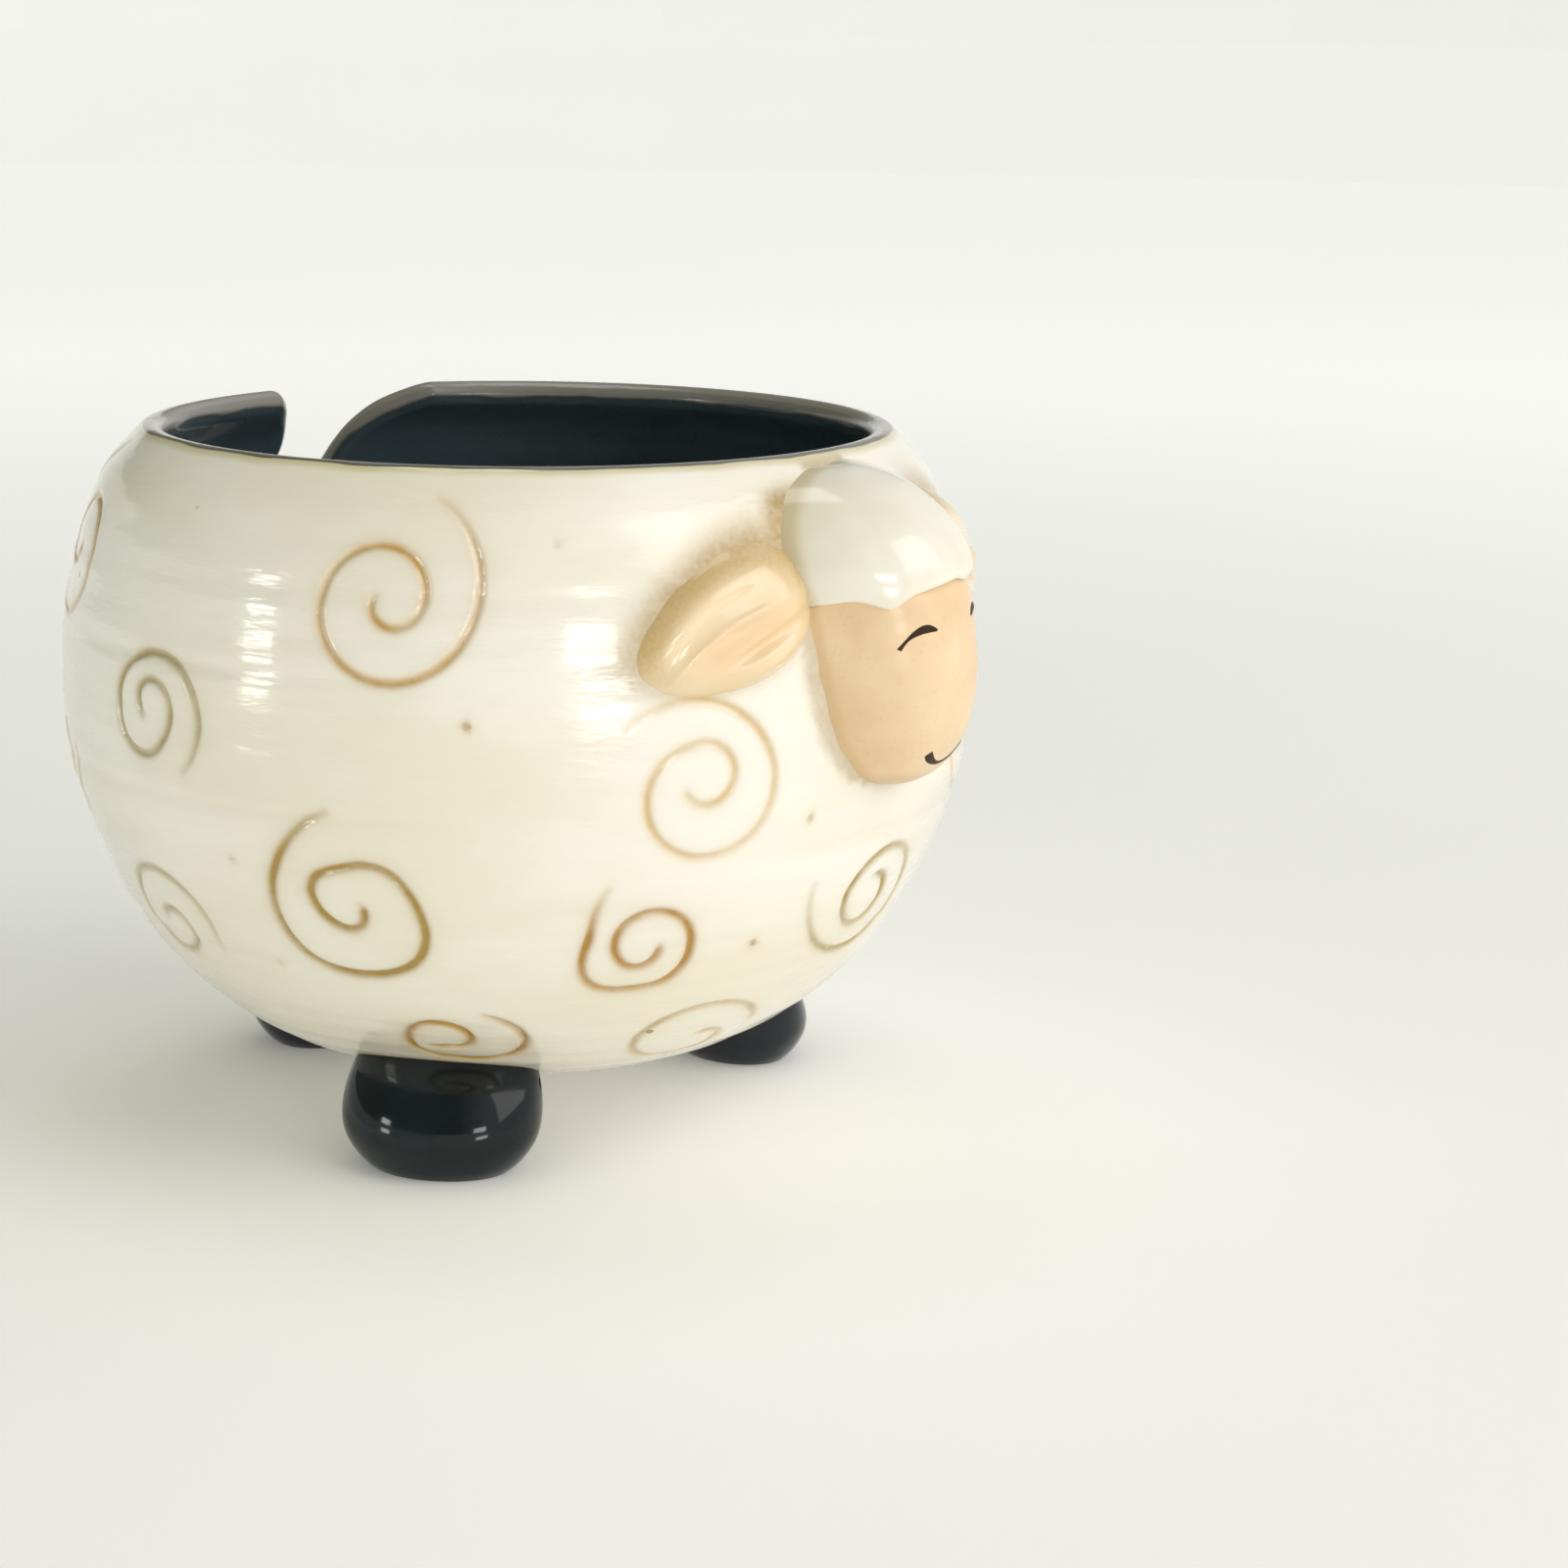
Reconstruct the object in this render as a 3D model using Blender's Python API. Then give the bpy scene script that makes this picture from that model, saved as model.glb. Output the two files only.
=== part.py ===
"""A sheep-shaped yarn bowl: glazed earthenware, three feet, a relief head and a hooked yarn slot.

Metres, +Z up. The origin is on the floor, under the middle of the whole object. The head faces -Y.
Bearings round the bowl are in degrees from -Y, growing towards +X.
"""

import math

import bmesh
import bpy
import numpy as np
from mathutils import Vector

# The bowl is a body of revolution. Each outline point is (radius, height).
OUTER_POINTS = [
    (0.0300, 0.0122), (0.0362, 0.0132), (0.0472, 0.0177), (0.0568, 0.0248), (0.0654, 0.0349),
    (0.0717, 0.0470), (0.0766, 0.0612), (0.0780, 0.0774), (0.0763, 0.0936), (0.0727, 0.1058),
    (0.0682, 0.1139), (0.0638, 0.1180),
]
BELLY_RADIUS = 0.0780
WALL = 0.0052
GLAZE = 0.0010
GAP = 0.0003
OUTLINE_STEPS = 16
LIP_STEPS = 6
TURNS = 48

# The sheep's head stands proud of the wall at bearing 0. It leans over by HEAD_TILT degrees
# about the point HEAD_CENTRE_Z up its middle, so its right side is the higher one.
HEAD_TILT = 4.0
HEAD_CENTRE_Z = 0.0890
HEAD_FRONT = 0.0907
AXIS_Y = (HEAD_FRONT - BELLY_RADIUS) / 2
HEAD_BACK = 0.0600
HEAD_POWER = 2.6
HEAD_STEPS = 16
# (height, half width, reach from the bowl's axis)
FACE_LEVELS = [
    (0.0670, 0.0058, 0.0808), (0.0686, 0.0096, 0.0843), (0.0712, 0.0124, 0.0870),
    (0.0748, 0.0145, 0.0890), (0.0797, 0.0158, 0.0902), (0.0850, 0.0164, HEAD_FRONT),
    (0.0912, 0.0165, 0.0905), (0.0988, 0.0162, 0.0886),
]
CAP_LEVELS = [
    (0.0991, 0.0168, 0.0891), (0.1020, 0.0170, 0.0888), (0.1052, 0.0167, 0.0875),
    (0.1085, 0.0158, 0.0850), (0.1115, 0.0143, 0.0814), (0.1140, 0.0120, 0.0773),
    (0.1157, 0.0088, 0.0732), (0.1168, 0.0046, 0.0695),
]

# The ears lie along the wall. Each is thicker at its root than at its tip, and hollowed.
EAR_BEARING = 24.5
EAR_Z = 0.0969
EAR_DROOP = 17.5
EAR_RISE = 0.0021
EAR_HALF_SIZE = (0.0156, 0.0092)
EAR_THICKNESS = 0.0040
EAR_THINNING = 0.35
EAR_TAPER = 0.22
EAR_ROOT_DEPTH = 0.0040
EAR_GROOVE_DEPTH = 0.0018
EAR_SEGMENTS = (20, 12)

EYE_X = 0.0079
EYE_Z = 0.0936
EYE_HALF_SPAN = 0.0027
EYE_RIGHT_LIFT = 0.0012
EYE_DROP = 0.0013
EYE_ARCH = 0.0012
MOUTH_Z = 0.0705
MOUTH_HALF_SPAN = 0.0048
MOUTH_RISE = 0.0024
STROKE_WIDTH = 0.0010
STROKE_DEPTH = 0.0005
STROKE_STEPS = 6

# name: (bearing, distance from the bowl's axis)
FOOT_PLACES = {
    "foot_front_left": (-67.0, 0.0450),
    "foot_front_right": (70.0, 0.0450),
    "foot_rear": (175.5, 0.0490),
}
FOOT_HALF_SIZE = (0.0170, 0.0128)
FOOT_STEPS = 20
# (height, share of the half size)
FOOT_LEVELS = [
    (0.0000, 0.70), (0.0019, 0.83), (0.0050, 0.955), (0.0083, 1.00), (0.0115, 0.995),
    (0.0146, 0.965), (0.0180, 0.90), (0.0230, 0.80), (0.0290, 0.66),
]

# The slot's outline: (distance round the rim from SLOT_BEARING, depth below the lip's crest).
# It runs down the sloping side, along the channel, up round the pocket and back round the lobe.
SLOT_BEARING = 144.0
SLOT_RADIUS = 0.0649
SLOT_POINTS = [
    (-0.0128, -0.0012), (-0.0068, 0.0002), (-0.0013, 0.0005), (0.0034, 0.0012), (0.0075, 0.0026),
    (0.0120, 0.0049), (0.0157, 0.0082), (0.0182, 0.0120), (0.0202, 0.0160), (0.0232, 0.0200),
    (0.0276, 0.0235), (0.0338, 0.0259), (0.0410, 0.0270), (0.0490, 0.0274), (0.0570, 0.0270),
    (0.0630, 0.0246), (0.0666, 0.0200), (0.0664, 0.0145), (0.0632, 0.0106), (0.0590, 0.0092),
    (0.0558, 0.0112), (0.0546, 0.0152), (0.0520, 0.0183), (0.0460, 0.0194), (0.0395, 0.0189),
    (0.0341, 0.0172), (0.0307, 0.0144), (0.0294, 0.0108), (0.0300, 0.0068), (0.0324, 0.0032),
    (0.0358, 0.0010), (0.0402, 0.0001), (0.0440, -0.0012),
]
SLOT_STEPS = 2
SLOT_CUT_RADII = (0.0500, 0.0880)
SLOT_CUT_TOP = 0.1280

COLOURS = {
    "cream_glaze": ((0.90, 0.86, 0.74), 0.16),
    "charcoal_glaze": ((0.016, 0.021, 0.024), 0.22),
    "black_glaze": ((0.008, 0.011, 0.014), 0.12),
    "peach_glaze": ((0.86, 0.66, 0.46), 0.20),
    "white_glaze": ((0.88, 0.85, 0.78), 0.16),
    "brown_paint": ((0.045, 0.022, 0.012), 0.35),
}


def clear_scene():
    for item in list(bpy.data.objects):
        bpy.data.objects.remove(item)


def glaze(slot):
    """A material in the slot's colour and roughness."""
    found = bpy.data.materials.get(slot)
    if found:
        return found
    made = bpy.data.materials.new(slot)
    made.use_nodes = True
    shader = made.node_tree.nodes["Principled BSDF"]
    colour, roughness = COLOURS[slot]
    shader.inputs["Base Color"].default_value = (*colour, 1.0)
    shader.inputs["Roughness"].default_value = roughness
    shader.inputs["Metallic"].default_value = 0.0
    return made


def solid(name, points, faces, slot=None):
    """An object made of one closed mesh, with its faces turned outwards."""
    mesh = bpy.data.meshes.new(name)
    mesh.from_pydata([tuple(p) for p in points], [], faces)
    work = bmesh.new()
    work.from_mesh(mesh)
    bmesh.ops.recalc_face_normals(work, faces=work.faces)
    work.to_mesh(mesh)
    work.free()
    mesh.shade_smooth()
    mesh.set_sharp_from_angle(angle=math.radians(40))
    made = bpy.data.objects.new(name, mesh)
    bpy.context.scene.collection.objects.link(made)
    if slot:
        mesh.materials.append(glaze(slot))
    return made


def cutter(name, points, faces):
    """A solid that only cuts others."""
    made = solid(name, points, faces)
    made.hide_render = True
    made.display_type = "WIRE"
    return made


def cut(piece, tool):
    """Takes the tool away from the piece."""
    modifier = piece.modifiers.new("cut_" + tool.name, "BOOLEAN")
    modifier.operation = "DIFFERENCE"
    modifier.solver = "EXACT"
    modifier.object = tool


def radial(bearing, radius, height):
    """The point at that bearing in degrees, that far from the bowl's axis."""
    angle = math.radians(bearing)
    return (radius * math.sin(angle), AXIS_Y - radius * math.cos(angle), height)


def spline(points, steps):
    """Even steps along the natural cubic spline through the points, with its unit normals."""
    knots = np.array(points)
    span = np.hypot(*np.diff(knots, axis=0).T)
    along = np.concatenate([[0.0], np.cumsum(span)])
    count = len(knots)
    system = np.eye(count)
    right = np.zeros((count, 2))
    for i in range(1, count - 1):
        system[i, i - 1 : i + 2] = span[i - 1], 2 * (span[i - 1] + span[i]), span[i]
        step_out = (knots[i + 1] - knots[i]) / span[i]
        step_in = (knots[i] - knots[i - 1]) / span[i - 1]
        right[i] = 6 * (step_out - step_in)
    bend = np.linalg.solve(system, right)
    places = []
    normals = []
    for s in np.linspace(0.0, along[-1], steps + 1):
        i = min(int(np.searchsorted(along, s, side="right")) - 1, count - 2)
        a = along[i + 1] - s
        b = s - along[i]
        h = span[i]
        low = knots[i] / h - bend[i] * h / 6
        high = knots[i + 1] / h - bend[i + 1] * h / 6
        places.append(bend[i] * a**3 / (6 * h) + bend[i + 1] * b**3 / (6 * h) + low * a + high * b)
        slope = (bend[i + 1] * b**2 - bend[i] * a**2) / (2 * h) + high - low
        slope = slope / np.hypot(*slope)
        normals.append(np.array([slope[1], -slope[0]]))
    return np.array(places), np.array(normals)


def wall_radius(height):
    """The radius of the bowl's outside at that height."""
    outer, _ = spline(OUTER_POINTS, OUTLINE_STEPS)
    return float(np.interp(height, outer[:, 1], outer[:, 0]))


def turned(outline):
    """Points and faces of an outline turned about the bowl's axis. It starts and ends on the axis."""
    points = [(0.0, AXIS_Y, outline[0][1])]
    for radius, height in outline[1:-1]:
        points += [radial(360.0 * k / TURNS, radius, height) for k in range(TURNS)]
    points.append((0.0, AXIS_Y, outline[-1][1]))
    rings = len(outline) - 2
    last = len(points) - 1
    faces = []
    for k in range(TURNS):
        beside = (k + 1) % TURNS
        faces.append((0, 1 + k, 1 + beside))
        for ring in range(rings - 1):
            low = 1 + ring * TURNS
            high = low + TURNS
            faces.append((low + k, high + k, high + beside, low + beside))
        top = 1 + (rings - 1) * TURNS
        faces.append((last, top + beside, top + k))
    return points, faces


def lip_arc(centre, outward, radius, start, end):
    """Points of the lip's rounding, from one side of the wall over its end to the other."""
    along = np.array([-outward[1], outward[0]])
    points = []
    for angle in np.linspace(start, end, LIP_STEPS + 1):
        turn = math.radians(angle)
        points.append(centre + radius * (math.cos(turn) * outward + math.sin(turn) * along))
    return points


def make_bowl():
    """The clay bowl, and the glaze coat that covers its lip and its inside."""
    outer, normals = spline(OUTER_POINTS, OUTLINE_STEPS)
    centre = outer[-1] - normals[-1] * WALL / 2
    outward = normals[-1]
    along = np.array([-outward[1], outward[0]])
    base = outer[0][1]
    under = GLAZE + GAP

    clay_in = (outer - normals * (WALL - under))[::-1]
    clay = [(0.0, base)]
    clay += list(outer[:-1])
    clay.append(outer[-1] - along * GAP)
    shoulder = lip_arc(centre, outward, WALL / 2 - under, 0, 180)
    clay.append(shoulder[0] - along * GAP)
    clay += shoulder[1:-1]
    clay += list(clay_in)
    clay.append((0.0, base + WALL - under))
    bowl = solid("bowl_body", *turned(clay), "cream_glaze")

    front = (outer - normals * WALL)[::-1]
    back = outer - normals * (WALL - GLAZE)
    coat = [(0.0, base + WALL - GLAZE)]
    coat += list(back)
    coat += lip_arc(centre, outward, WALL / 2 - GLAZE, 180, 0)[1:]
    coat += lip_arc(centre, outward, WALL / 2, 0, 180)[:-1]
    coat += list(front)
    coat.append((0.0, base + WALL))
    liner = solid("bowl_liner", *turned(coat), "charcoal_glaze")
    return bowl, liner


def make_wall_cutter():
    """The whole volume of the bowl, a gap larger all round, to cut what is stuck on the wall."""
    outer, normals = spline(OUTER_POINTS, OUTLINE_STEPS)
    grown = outer + normals * GAP
    outline = [(0.0, grown[0][1])]
    outline += list(grown)
    outline.append((grown[-1][0] - WALL, grown[-1][1] + WALL / 4))
    outline.append((0.0, grown[-1][1] + WALL / 4))
    return cutter("wall_cutter", *turned(outline))


def rounded_path(points, steps):
    """A smooth open curve through the points, with that many steps between neighbours."""
    smooth = []
    for i in range(len(points) - 1):
        before = np.array(points[max(i - 1, 0)])
        start = np.array(points[i])
        end = np.array(points[i + 1])
        after = np.array(points[min(i + 2, len(points) - 1)])
        for k in range(steps):
            t = k / steps
            pull = (end - before) * t + (2 * before - 5 * start + 4 * end - after) * t**2
            bend = (3 * (start - end) + after - before) * t**3
            smooth.append(start + (pull + bend) / 2)
    smooth.append(np.array(points[-1]))
    return smooth


def make_slot_cutter():
    """A wall of air in the shape of the slot, cut straight through towards the bowl's axis."""
    outer, normals = spline(OUTER_POINTS, OUTLINE_STEPS)
    crest = outer[-1][1] - normals[-1][1] * WALL / 2 + WALL / 2
    path = rounded_path(SLOT_POINTS, SLOT_STEPS)
    outline = [(round_rim, crest - depth) for round_rim, depth in path]
    outline.append((outline[-1][0], SLOT_CUT_TOP))
    outline.append((outline[0][0], SLOT_CUT_TOP))
    degrees = math.degrees(1 / SLOT_RADIUS)
    points = []
    for radius in SLOT_CUT_RADII:
        points += [radial(SLOT_BEARING + u * degrees, radius, z) for u, z in outline]
    count = len(outline)
    faces = [tuple(range(count)), tuple(range(2 * count - 1, count - 1, -1))]
    for i in range(count):
        j = (i + 1) % count
        faces.append((i, j, count + j, count + i))
    return cutter("slot_cutter", points, faces)


def head_point(x, reach, height):
    """A point of the head, given upright and leaned over with it."""
    lean = math.radians(HEAD_TILT)
    above = height - HEAD_CENTRE_Z
    leaned_x = x * math.cos(lean) - above * math.sin(lean)
    leaned_z = HEAD_CENTRE_Z + x * math.sin(lean) + above * math.cos(lean)
    return (leaned_x, AXIS_Y - reach, leaned_z)


def loft(levels, grow=0.0):
    """Points and faces of a relief: level rings, each a blunt half oval that stands on the wall."""
    points = []
    for height, half_width, reach in levels:
        for k in range(HEAD_STEPS + 1):
            turn = math.pi * k / HEAD_STEPS
            side = math.copysign(abs(math.cos(turn)) ** (2 / HEAD_POWER), math.cos(turn))
            front = math.sin(turn) ** (2 / HEAD_POWER)
            x = -(half_width + grow) * side
            points.append(head_point(x, HEAD_BACK + (reach + grow - HEAD_BACK) * front, height))
    size = HEAD_STEPS + 1
    top = (len(levels) - 1) * size
    faces = [tuple(range(size)), tuple(range(top + size - 1, top - 1, -1))]
    for level in range(len(levels) - 1):
        for k in range(size):
            beside = (k + 1) % size
            low = level * size
            faces.append((low + k, low + beside, low + size + beside, low + size + k))
    return points, faces


def face_reach(x, z):
    """How far from the bowl's axis the face's surface lies at that place."""
    heights = [level[0] for level in FACE_LEVELS]
    half_width = np.interp(z, heights, [level[1] for level in FACE_LEVELS])
    reach = np.interp(z, heights, [level[2] for level in FACE_LEVELS])
    share = 1 - min(1.0, abs(x) / half_width) ** HEAD_POWER
    return HEAD_BACK + (reach - HEAD_BACK) * share ** (1 / HEAD_POWER)


def make_stroke(name, path):
    """A painted line on the face, as a thin raised ribbon along (x, z) points."""
    points = []
    for i, (x, z) in enumerate(path):
        before = path[max(i - 1, 0)]
        after = path[min(i + 1, len(path) - 1)]
        across = Vector((before[1] - after[1], after[0] - before[0])).normalized()
        for side, lift in ((-0.5, 0), (-0.5, 1), (0.5, 1), (0.5, 0)):
            px = x + across[0] * side * STROKE_WIDTH
            pz = z + across[1] * side * STROKE_WIDTH
            reach = face_reach(px, pz) + GAP + lift * STROKE_DEPTH
            points.append(head_point(px, reach, pz))
    faces = [(0, 1, 2, 3), tuple(len(points) - 1 - k for k in range(4))]
    for i in range(len(path) - 1):
        for k in range(4):
            beside = (k + 1) % 4
            low = 4 * i
            faces.append((low + k, low + beside, low + 4 + beside, low + 4 + k))
    return solid(name, points, faces, "brown_paint")


def make_face_paint():
    """Two closed eyes and a smile."""
    shares = [2 * k / STROKE_STEPS - 1 for k in range(STROKE_STEPS + 1)]
    for name, side, lift in (("eye_left", -1, 0.0), ("eye_right", 1, EYE_RIGHT_LIFT)):
        arch = []
        for share in shares:
            height = EYE_Z + lift - EYE_DROP * share - EYE_ARCH * share**2
            arch.append((side * (EYE_X + EYE_HALF_SPAN * share), height))
        make_stroke(name, arch)
    smile = [(MOUTH_HALF_SPAN * share, MOUTH_Z + MOUTH_RISE * share**2) for share in shares]
    make_stroke("mouth", smile)


def ear_point(side, along, across, out):
    """A point of an ear from its place in a unit ball: root to tip, upwards, and out of the wall."""
    length, width = EAR_HALF_SIZE
    thickness = EAR_THICKNESS * (1 - EAR_THINNING * along)
    hollow = EAR_GROOVE_DEPTH * math.exp(-((across / 0.42) ** 2) - ((along - 0.15) / 0.62) ** 2)
    lift = out * thickness - hollow if out > 0 else out * EAR_ROOT_DEPTH
    fall = math.radians(EAR_DROOP - side * HEAD_TILT)
    lengthwise = along * length
    upwards = across * width * (1 - EAR_TAPER * along)
    aside = lengthwise * math.cos(fall) + upwards * math.sin(fall)
    middle = EAR_Z + side * EAR_RISE
    height = middle + upwards * math.cos(fall) - lengthwise * math.sin(fall)
    bearing = side * (EAR_BEARING + math.degrees(aside / BELLY_RADIUS))
    return radial(bearing, wall_radius(height) + lift, height)


def make_ear(name, side):
    """A drooping leaf-shaped ear. Side is -1 for the left and 1 for the right."""
    work = bmesh.new()
    around, lengthwise = EAR_SEGMENTS
    bmesh.ops.create_uvsphere(work, u_segments=around, v_segments=lengthwise, radius=1.0)
    points = [ear_point(side, vertex.co.z, vertex.co.x, vertex.co.y) for vertex in work.verts]
    faces = [tuple(vertex.index for vertex in face.verts) for face in work.faces]
    work.free()
    return solid(name, points, faces, "peach_glaze")


def make_head(wall_cutter):
    """The face, the wool above it and the ears beside it, each cut to sit on the wall."""
    face = solid("face", *loft(FACE_LEVELS), "peach_glaze")
    cap = solid("wool_cap", *loft(CAP_LEVELS), "white_glaze")
    face_cutter = cutter("face_cutter", *loft(FACE_LEVELS, GAP))
    cap_cutter = cutter("cap_cutter", *loft(CAP_LEVELS, GAP))
    cut(face, wall_cutter)
    cut(cap, wall_cutter)
    for name, side in (("ear_left", -1), ("ear_right", 1)):
        ear = make_ear(name, side)
        cut(ear, wall_cutter)
        cut(ear, face_cutter)
        cut(ear, cap_cutter)
    make_face_paint()


def make_foot(name, bearing, distance, wall_cutter):
    """A stubby oval foot with a flat sole, cut to fit the bowl's underside."""
    middle = Vector(radial(bearing, distance, 0.0))
    angle = math.radians(bearing)
    outward = Vector((math.sin(angle), -math.cos(angle), 0.0))
    level = Vector((math.cos(angle), math.sin(angle), 0.0))
    points = []
    for height, share in FOOT_LEVELS:
        for k in range(FOOT_STEPS):
            turn = 2 * math.pi * k / FOOT_STEPS
            sideways = level * FOOT_HALF_SIZE[0] * share * math.cos(turn)
            outwards = outward * FOOT_HALF_SIZE[1] * share * math.sin(turn)
            points.append(middle + sideways + outwards + Vector((0.0, 0.0, height)))
    top = (len(FOOT_LEVELS) - 1) * FOOT_STEPS
    faces = [tuple(range(FOOT_STEPS)), tuple(range(top + FOOT_STEPS - 1, top - 1, -1))]
    for ring in range(len(FOOT_LEVELS) - 1):
        for k in range(FOOT_STEPS):
            beside = (k + 1) % FOOT_STEPS
            low = ring * FOOT_STEPS
            faces.append((low + k, low + beside, low + FOOT_STEPS + beside, low + FOOT_STEPS + k))
    foot = solid(name, points, faces, "black_glaze")
    cut(foot, wall_cutter)


def main():
    clear_scene()
    bowl, liner = make_bowl()
    slot_cutter = make_slot_cutter()
    cut(bowl, slot_cutter)
    cut(liner, slot_cutter)
    wall_cutter = make_wall_cutter()
    for name, (bearing, distance) in FOOT_PLACES.items():
        make_foot(name, bearing, distance, wall_cutter)
    make_head(wall_cutter)


main()
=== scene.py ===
"""A stoneware yarn bowl with a sheep's face, on a pale studio floor."""
import math

import bmesh
import bpy
import numpy as np
from mathutils import Matrix, Vector
from mathutils.geometry import delaunay_2d_cdt


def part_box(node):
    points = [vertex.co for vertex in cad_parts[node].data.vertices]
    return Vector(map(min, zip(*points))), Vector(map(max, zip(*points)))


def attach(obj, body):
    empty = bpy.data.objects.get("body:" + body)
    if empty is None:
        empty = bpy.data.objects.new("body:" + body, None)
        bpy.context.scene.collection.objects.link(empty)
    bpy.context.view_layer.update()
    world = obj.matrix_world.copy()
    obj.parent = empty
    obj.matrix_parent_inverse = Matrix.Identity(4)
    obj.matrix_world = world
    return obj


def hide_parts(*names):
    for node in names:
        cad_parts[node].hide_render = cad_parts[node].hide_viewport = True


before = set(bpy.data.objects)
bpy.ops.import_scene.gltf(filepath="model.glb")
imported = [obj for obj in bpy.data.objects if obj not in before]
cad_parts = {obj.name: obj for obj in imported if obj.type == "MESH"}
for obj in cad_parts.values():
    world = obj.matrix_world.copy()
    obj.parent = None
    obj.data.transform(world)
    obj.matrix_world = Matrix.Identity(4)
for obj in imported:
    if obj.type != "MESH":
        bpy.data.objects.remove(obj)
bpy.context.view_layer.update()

# The bowl's outline, as (radius, height) in metres, and its wall.
OUTER_POINTS = (
    (0.0300, 0.0122), (0.0362, 0.0132), (0.0472, 0.0177), (0.0568, 0.0248),
    (0.0654, 0.0349), (0.0717, 0.0470), (0.0766, 0.0612), (0.0780, 0.0774),
    (0.0763, 0.0936), (0.0727, 0.1058), (0.0682, 0.1139), (0.0638, 0.1180),
)
WALL = 0.0052
LIP = WALL / 2
LIP_FULLNESS = 0.97
BELLY_RADIUS = max(radius for radius, _ in OUTER_POINTS)
AXIS_Y = sum(corner[1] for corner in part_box("bowl_body")) / 2
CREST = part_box("bowl_liner")[1][2]
POLE_RADIUS = 0.0015
MM = 0.001

# The slot: its outline as (distance round the rim, depth under the crest).
SLOT_BEARING = 144.0
SLOT_RADIUS = 0.0649
SLOT_SCALE = np.array([SLOT_RADIUS, 1.0])
SLOT_POINTS = (
    (-0.0128, -0.0012), (-0.0068, 0.0002), (-0.0013, 0.0005), (0.0034, 0.0012),
    (0.0075, 0.0026), (0.0120, 0.0049), (0.0157, 0.0082), (0.0182, 0.0120),
    (0.0202, 0.0160), (0.0232, 0.0200), (0.0276, 0.0235), (0.0338, 0.0259),
    (0.0410, 0.0270), (0.0490, 0.0274), (0.0570, 0.0270), (0.0630, 0.0246),
    (0.0666, 0.0200), (0.0664, 0.0145), (0.0632, 0.0106), (0.0590, 0.0092),
    (0.0558, 0.0112), (0.0546, 0.0152), (0.0520, 0.0183), (0.0460, 0.0194),
    (0.0395, 0.0189), (0.0341, 0.0172), (0.0307, 0.0144), (0.0294, 0.0108),
    (0.0300, 0.0068), (0.0324, 0.0032), (0.0358, 0.0010), (0.0402, 0.0001),
    (0.0440, -0.0012),
)

# The curls: bearing, distance up the wall in mm, first angle, whole turn, radii in mm at even
# parts of the turn from the inner end to the outer end, strength of the stain and its warmth.
CURLS = {
    "A": (-65.0, 111.6, 180, 610, (3, 5, 5, 7, 11, 13.5, 13, 17), 0.86, 1.12),
    "B": (-98.3, 88.5, 180, -590, (2.5, 6, 4.5, 5, 9, 10, 11, 10.5), 0.92, 0.25),
    "C": (-71.4, 60.9, 0, -623,
          (2, 3, 4.5, 5, 6, 7, 7, 9.5, 11, 14, 14, 15, 14, 13.5, 16.5), 1.25, 0.50),
    "D": (-33.9, 53.1, 0, -599,
          (2.5, 3, 4, 4.5, 5, 6, 7, 7.5, 8, 9, 9, 11, 9.5, 13.5), 1.10, 0.90),
    "E": (-29.1, 82.8, -145, 650, (3, 5, 6, 6, 11, 14, 12, 14.5), 0.66, 1.30),
    "F": (4.0, 55.3, 104, -662, (4, 4, 5, 6.5, 8, 10, 12, 11.5, 18), 1.00, 0.40),
    "G": (-105.1, 49.2, 165, -540, (3.5, 3.5, 4, 5.5, 10, 11.5, 10.5), 0.75, 0.15),
    "H": (-62.4, 29.7, -143, 555, (3.5, 2, 3.5, 5, 6, 6, 7, 7.5, 12.5, 11), 1.20, 0.75),
    "I": (-18.3, 24.6, 90, -438, (3, 5, 5.5, 5, 9, 13, 12, 11), 0.75, 0.60),
}
# The curls on the far side: shape, bearing, distance up the wall in mm, mirrored or not, spin.
FAR_CURLS = (
    ("E", 29.0, 82.0, True, 10), ("A", 64.0, 110.5, True, 0), ("C", 69.0, 62.0, True, 15),
    ("D", 36.5, 55.0, True, -20), ("B", 99.0, 90.0, True, 0), ("G", 104.0, 51.0, True, 20),
    ("H", 66.0, 30.5, True, 0), ("I", 24.0, 25.0, True, 0), ("A", 118.0, 114.0, False, 40),
    ("C", 138.0, 70.0, False, 20), ("D", 171.0, 79.0, False, 60), ("F", 168.0, 46.0, True, 0),
    ("B", 201.0, 62.0, True, 30), ("E", 207.0, 100.0, False, 70), ("H", 134.0, 31.0, False, 30),
    ("A", 233.0, 113.0, True, 20), ("D", 229.0, 74.0, True, 40), ("I", 203.0, 27.0, False, 40),
    ("H", 238.0, 30.0, True, 60),
)
# Iron flecks: bearing, distance up the wall and length in mm, strength.
FLECKS = (
    (-56.0, 92.0, 1.3, 0.85), (-17.5, 51.2, 1.1, 0.95), (-13.5, 74.0, 1.2, 0.55),
    (-87.2, 66.8, 1.2, 0.40), (-45.2, 120.0, 0.5, 0.55), (-85.0, 46.6, 0.8, 0.40),
    (62.0, 84.0, 1.2, 0.70), (121.0, 66.0, 0.9, 0.60), (188.0, 96.0, 1.1, 0.60),
    (219.0, 54.0, 0.8, 0.50),
)
CURL_REACH = 24 * MM
FLECK_DEPTH = 0.1
GROOVE_DEPTH = 0.60 * MM
GROOVE_WIDTH = 0.62 * MM
STAIN_WIDTH = 0.80 * MM
STAIN_BLUR = 1.9 * MM
# The potter's finger rings outside (1) and inside (-1): random seed and depth.
RINGS = {1: (11, 0.46 * MM), -1: (23, 0.42 * MM)}

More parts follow.
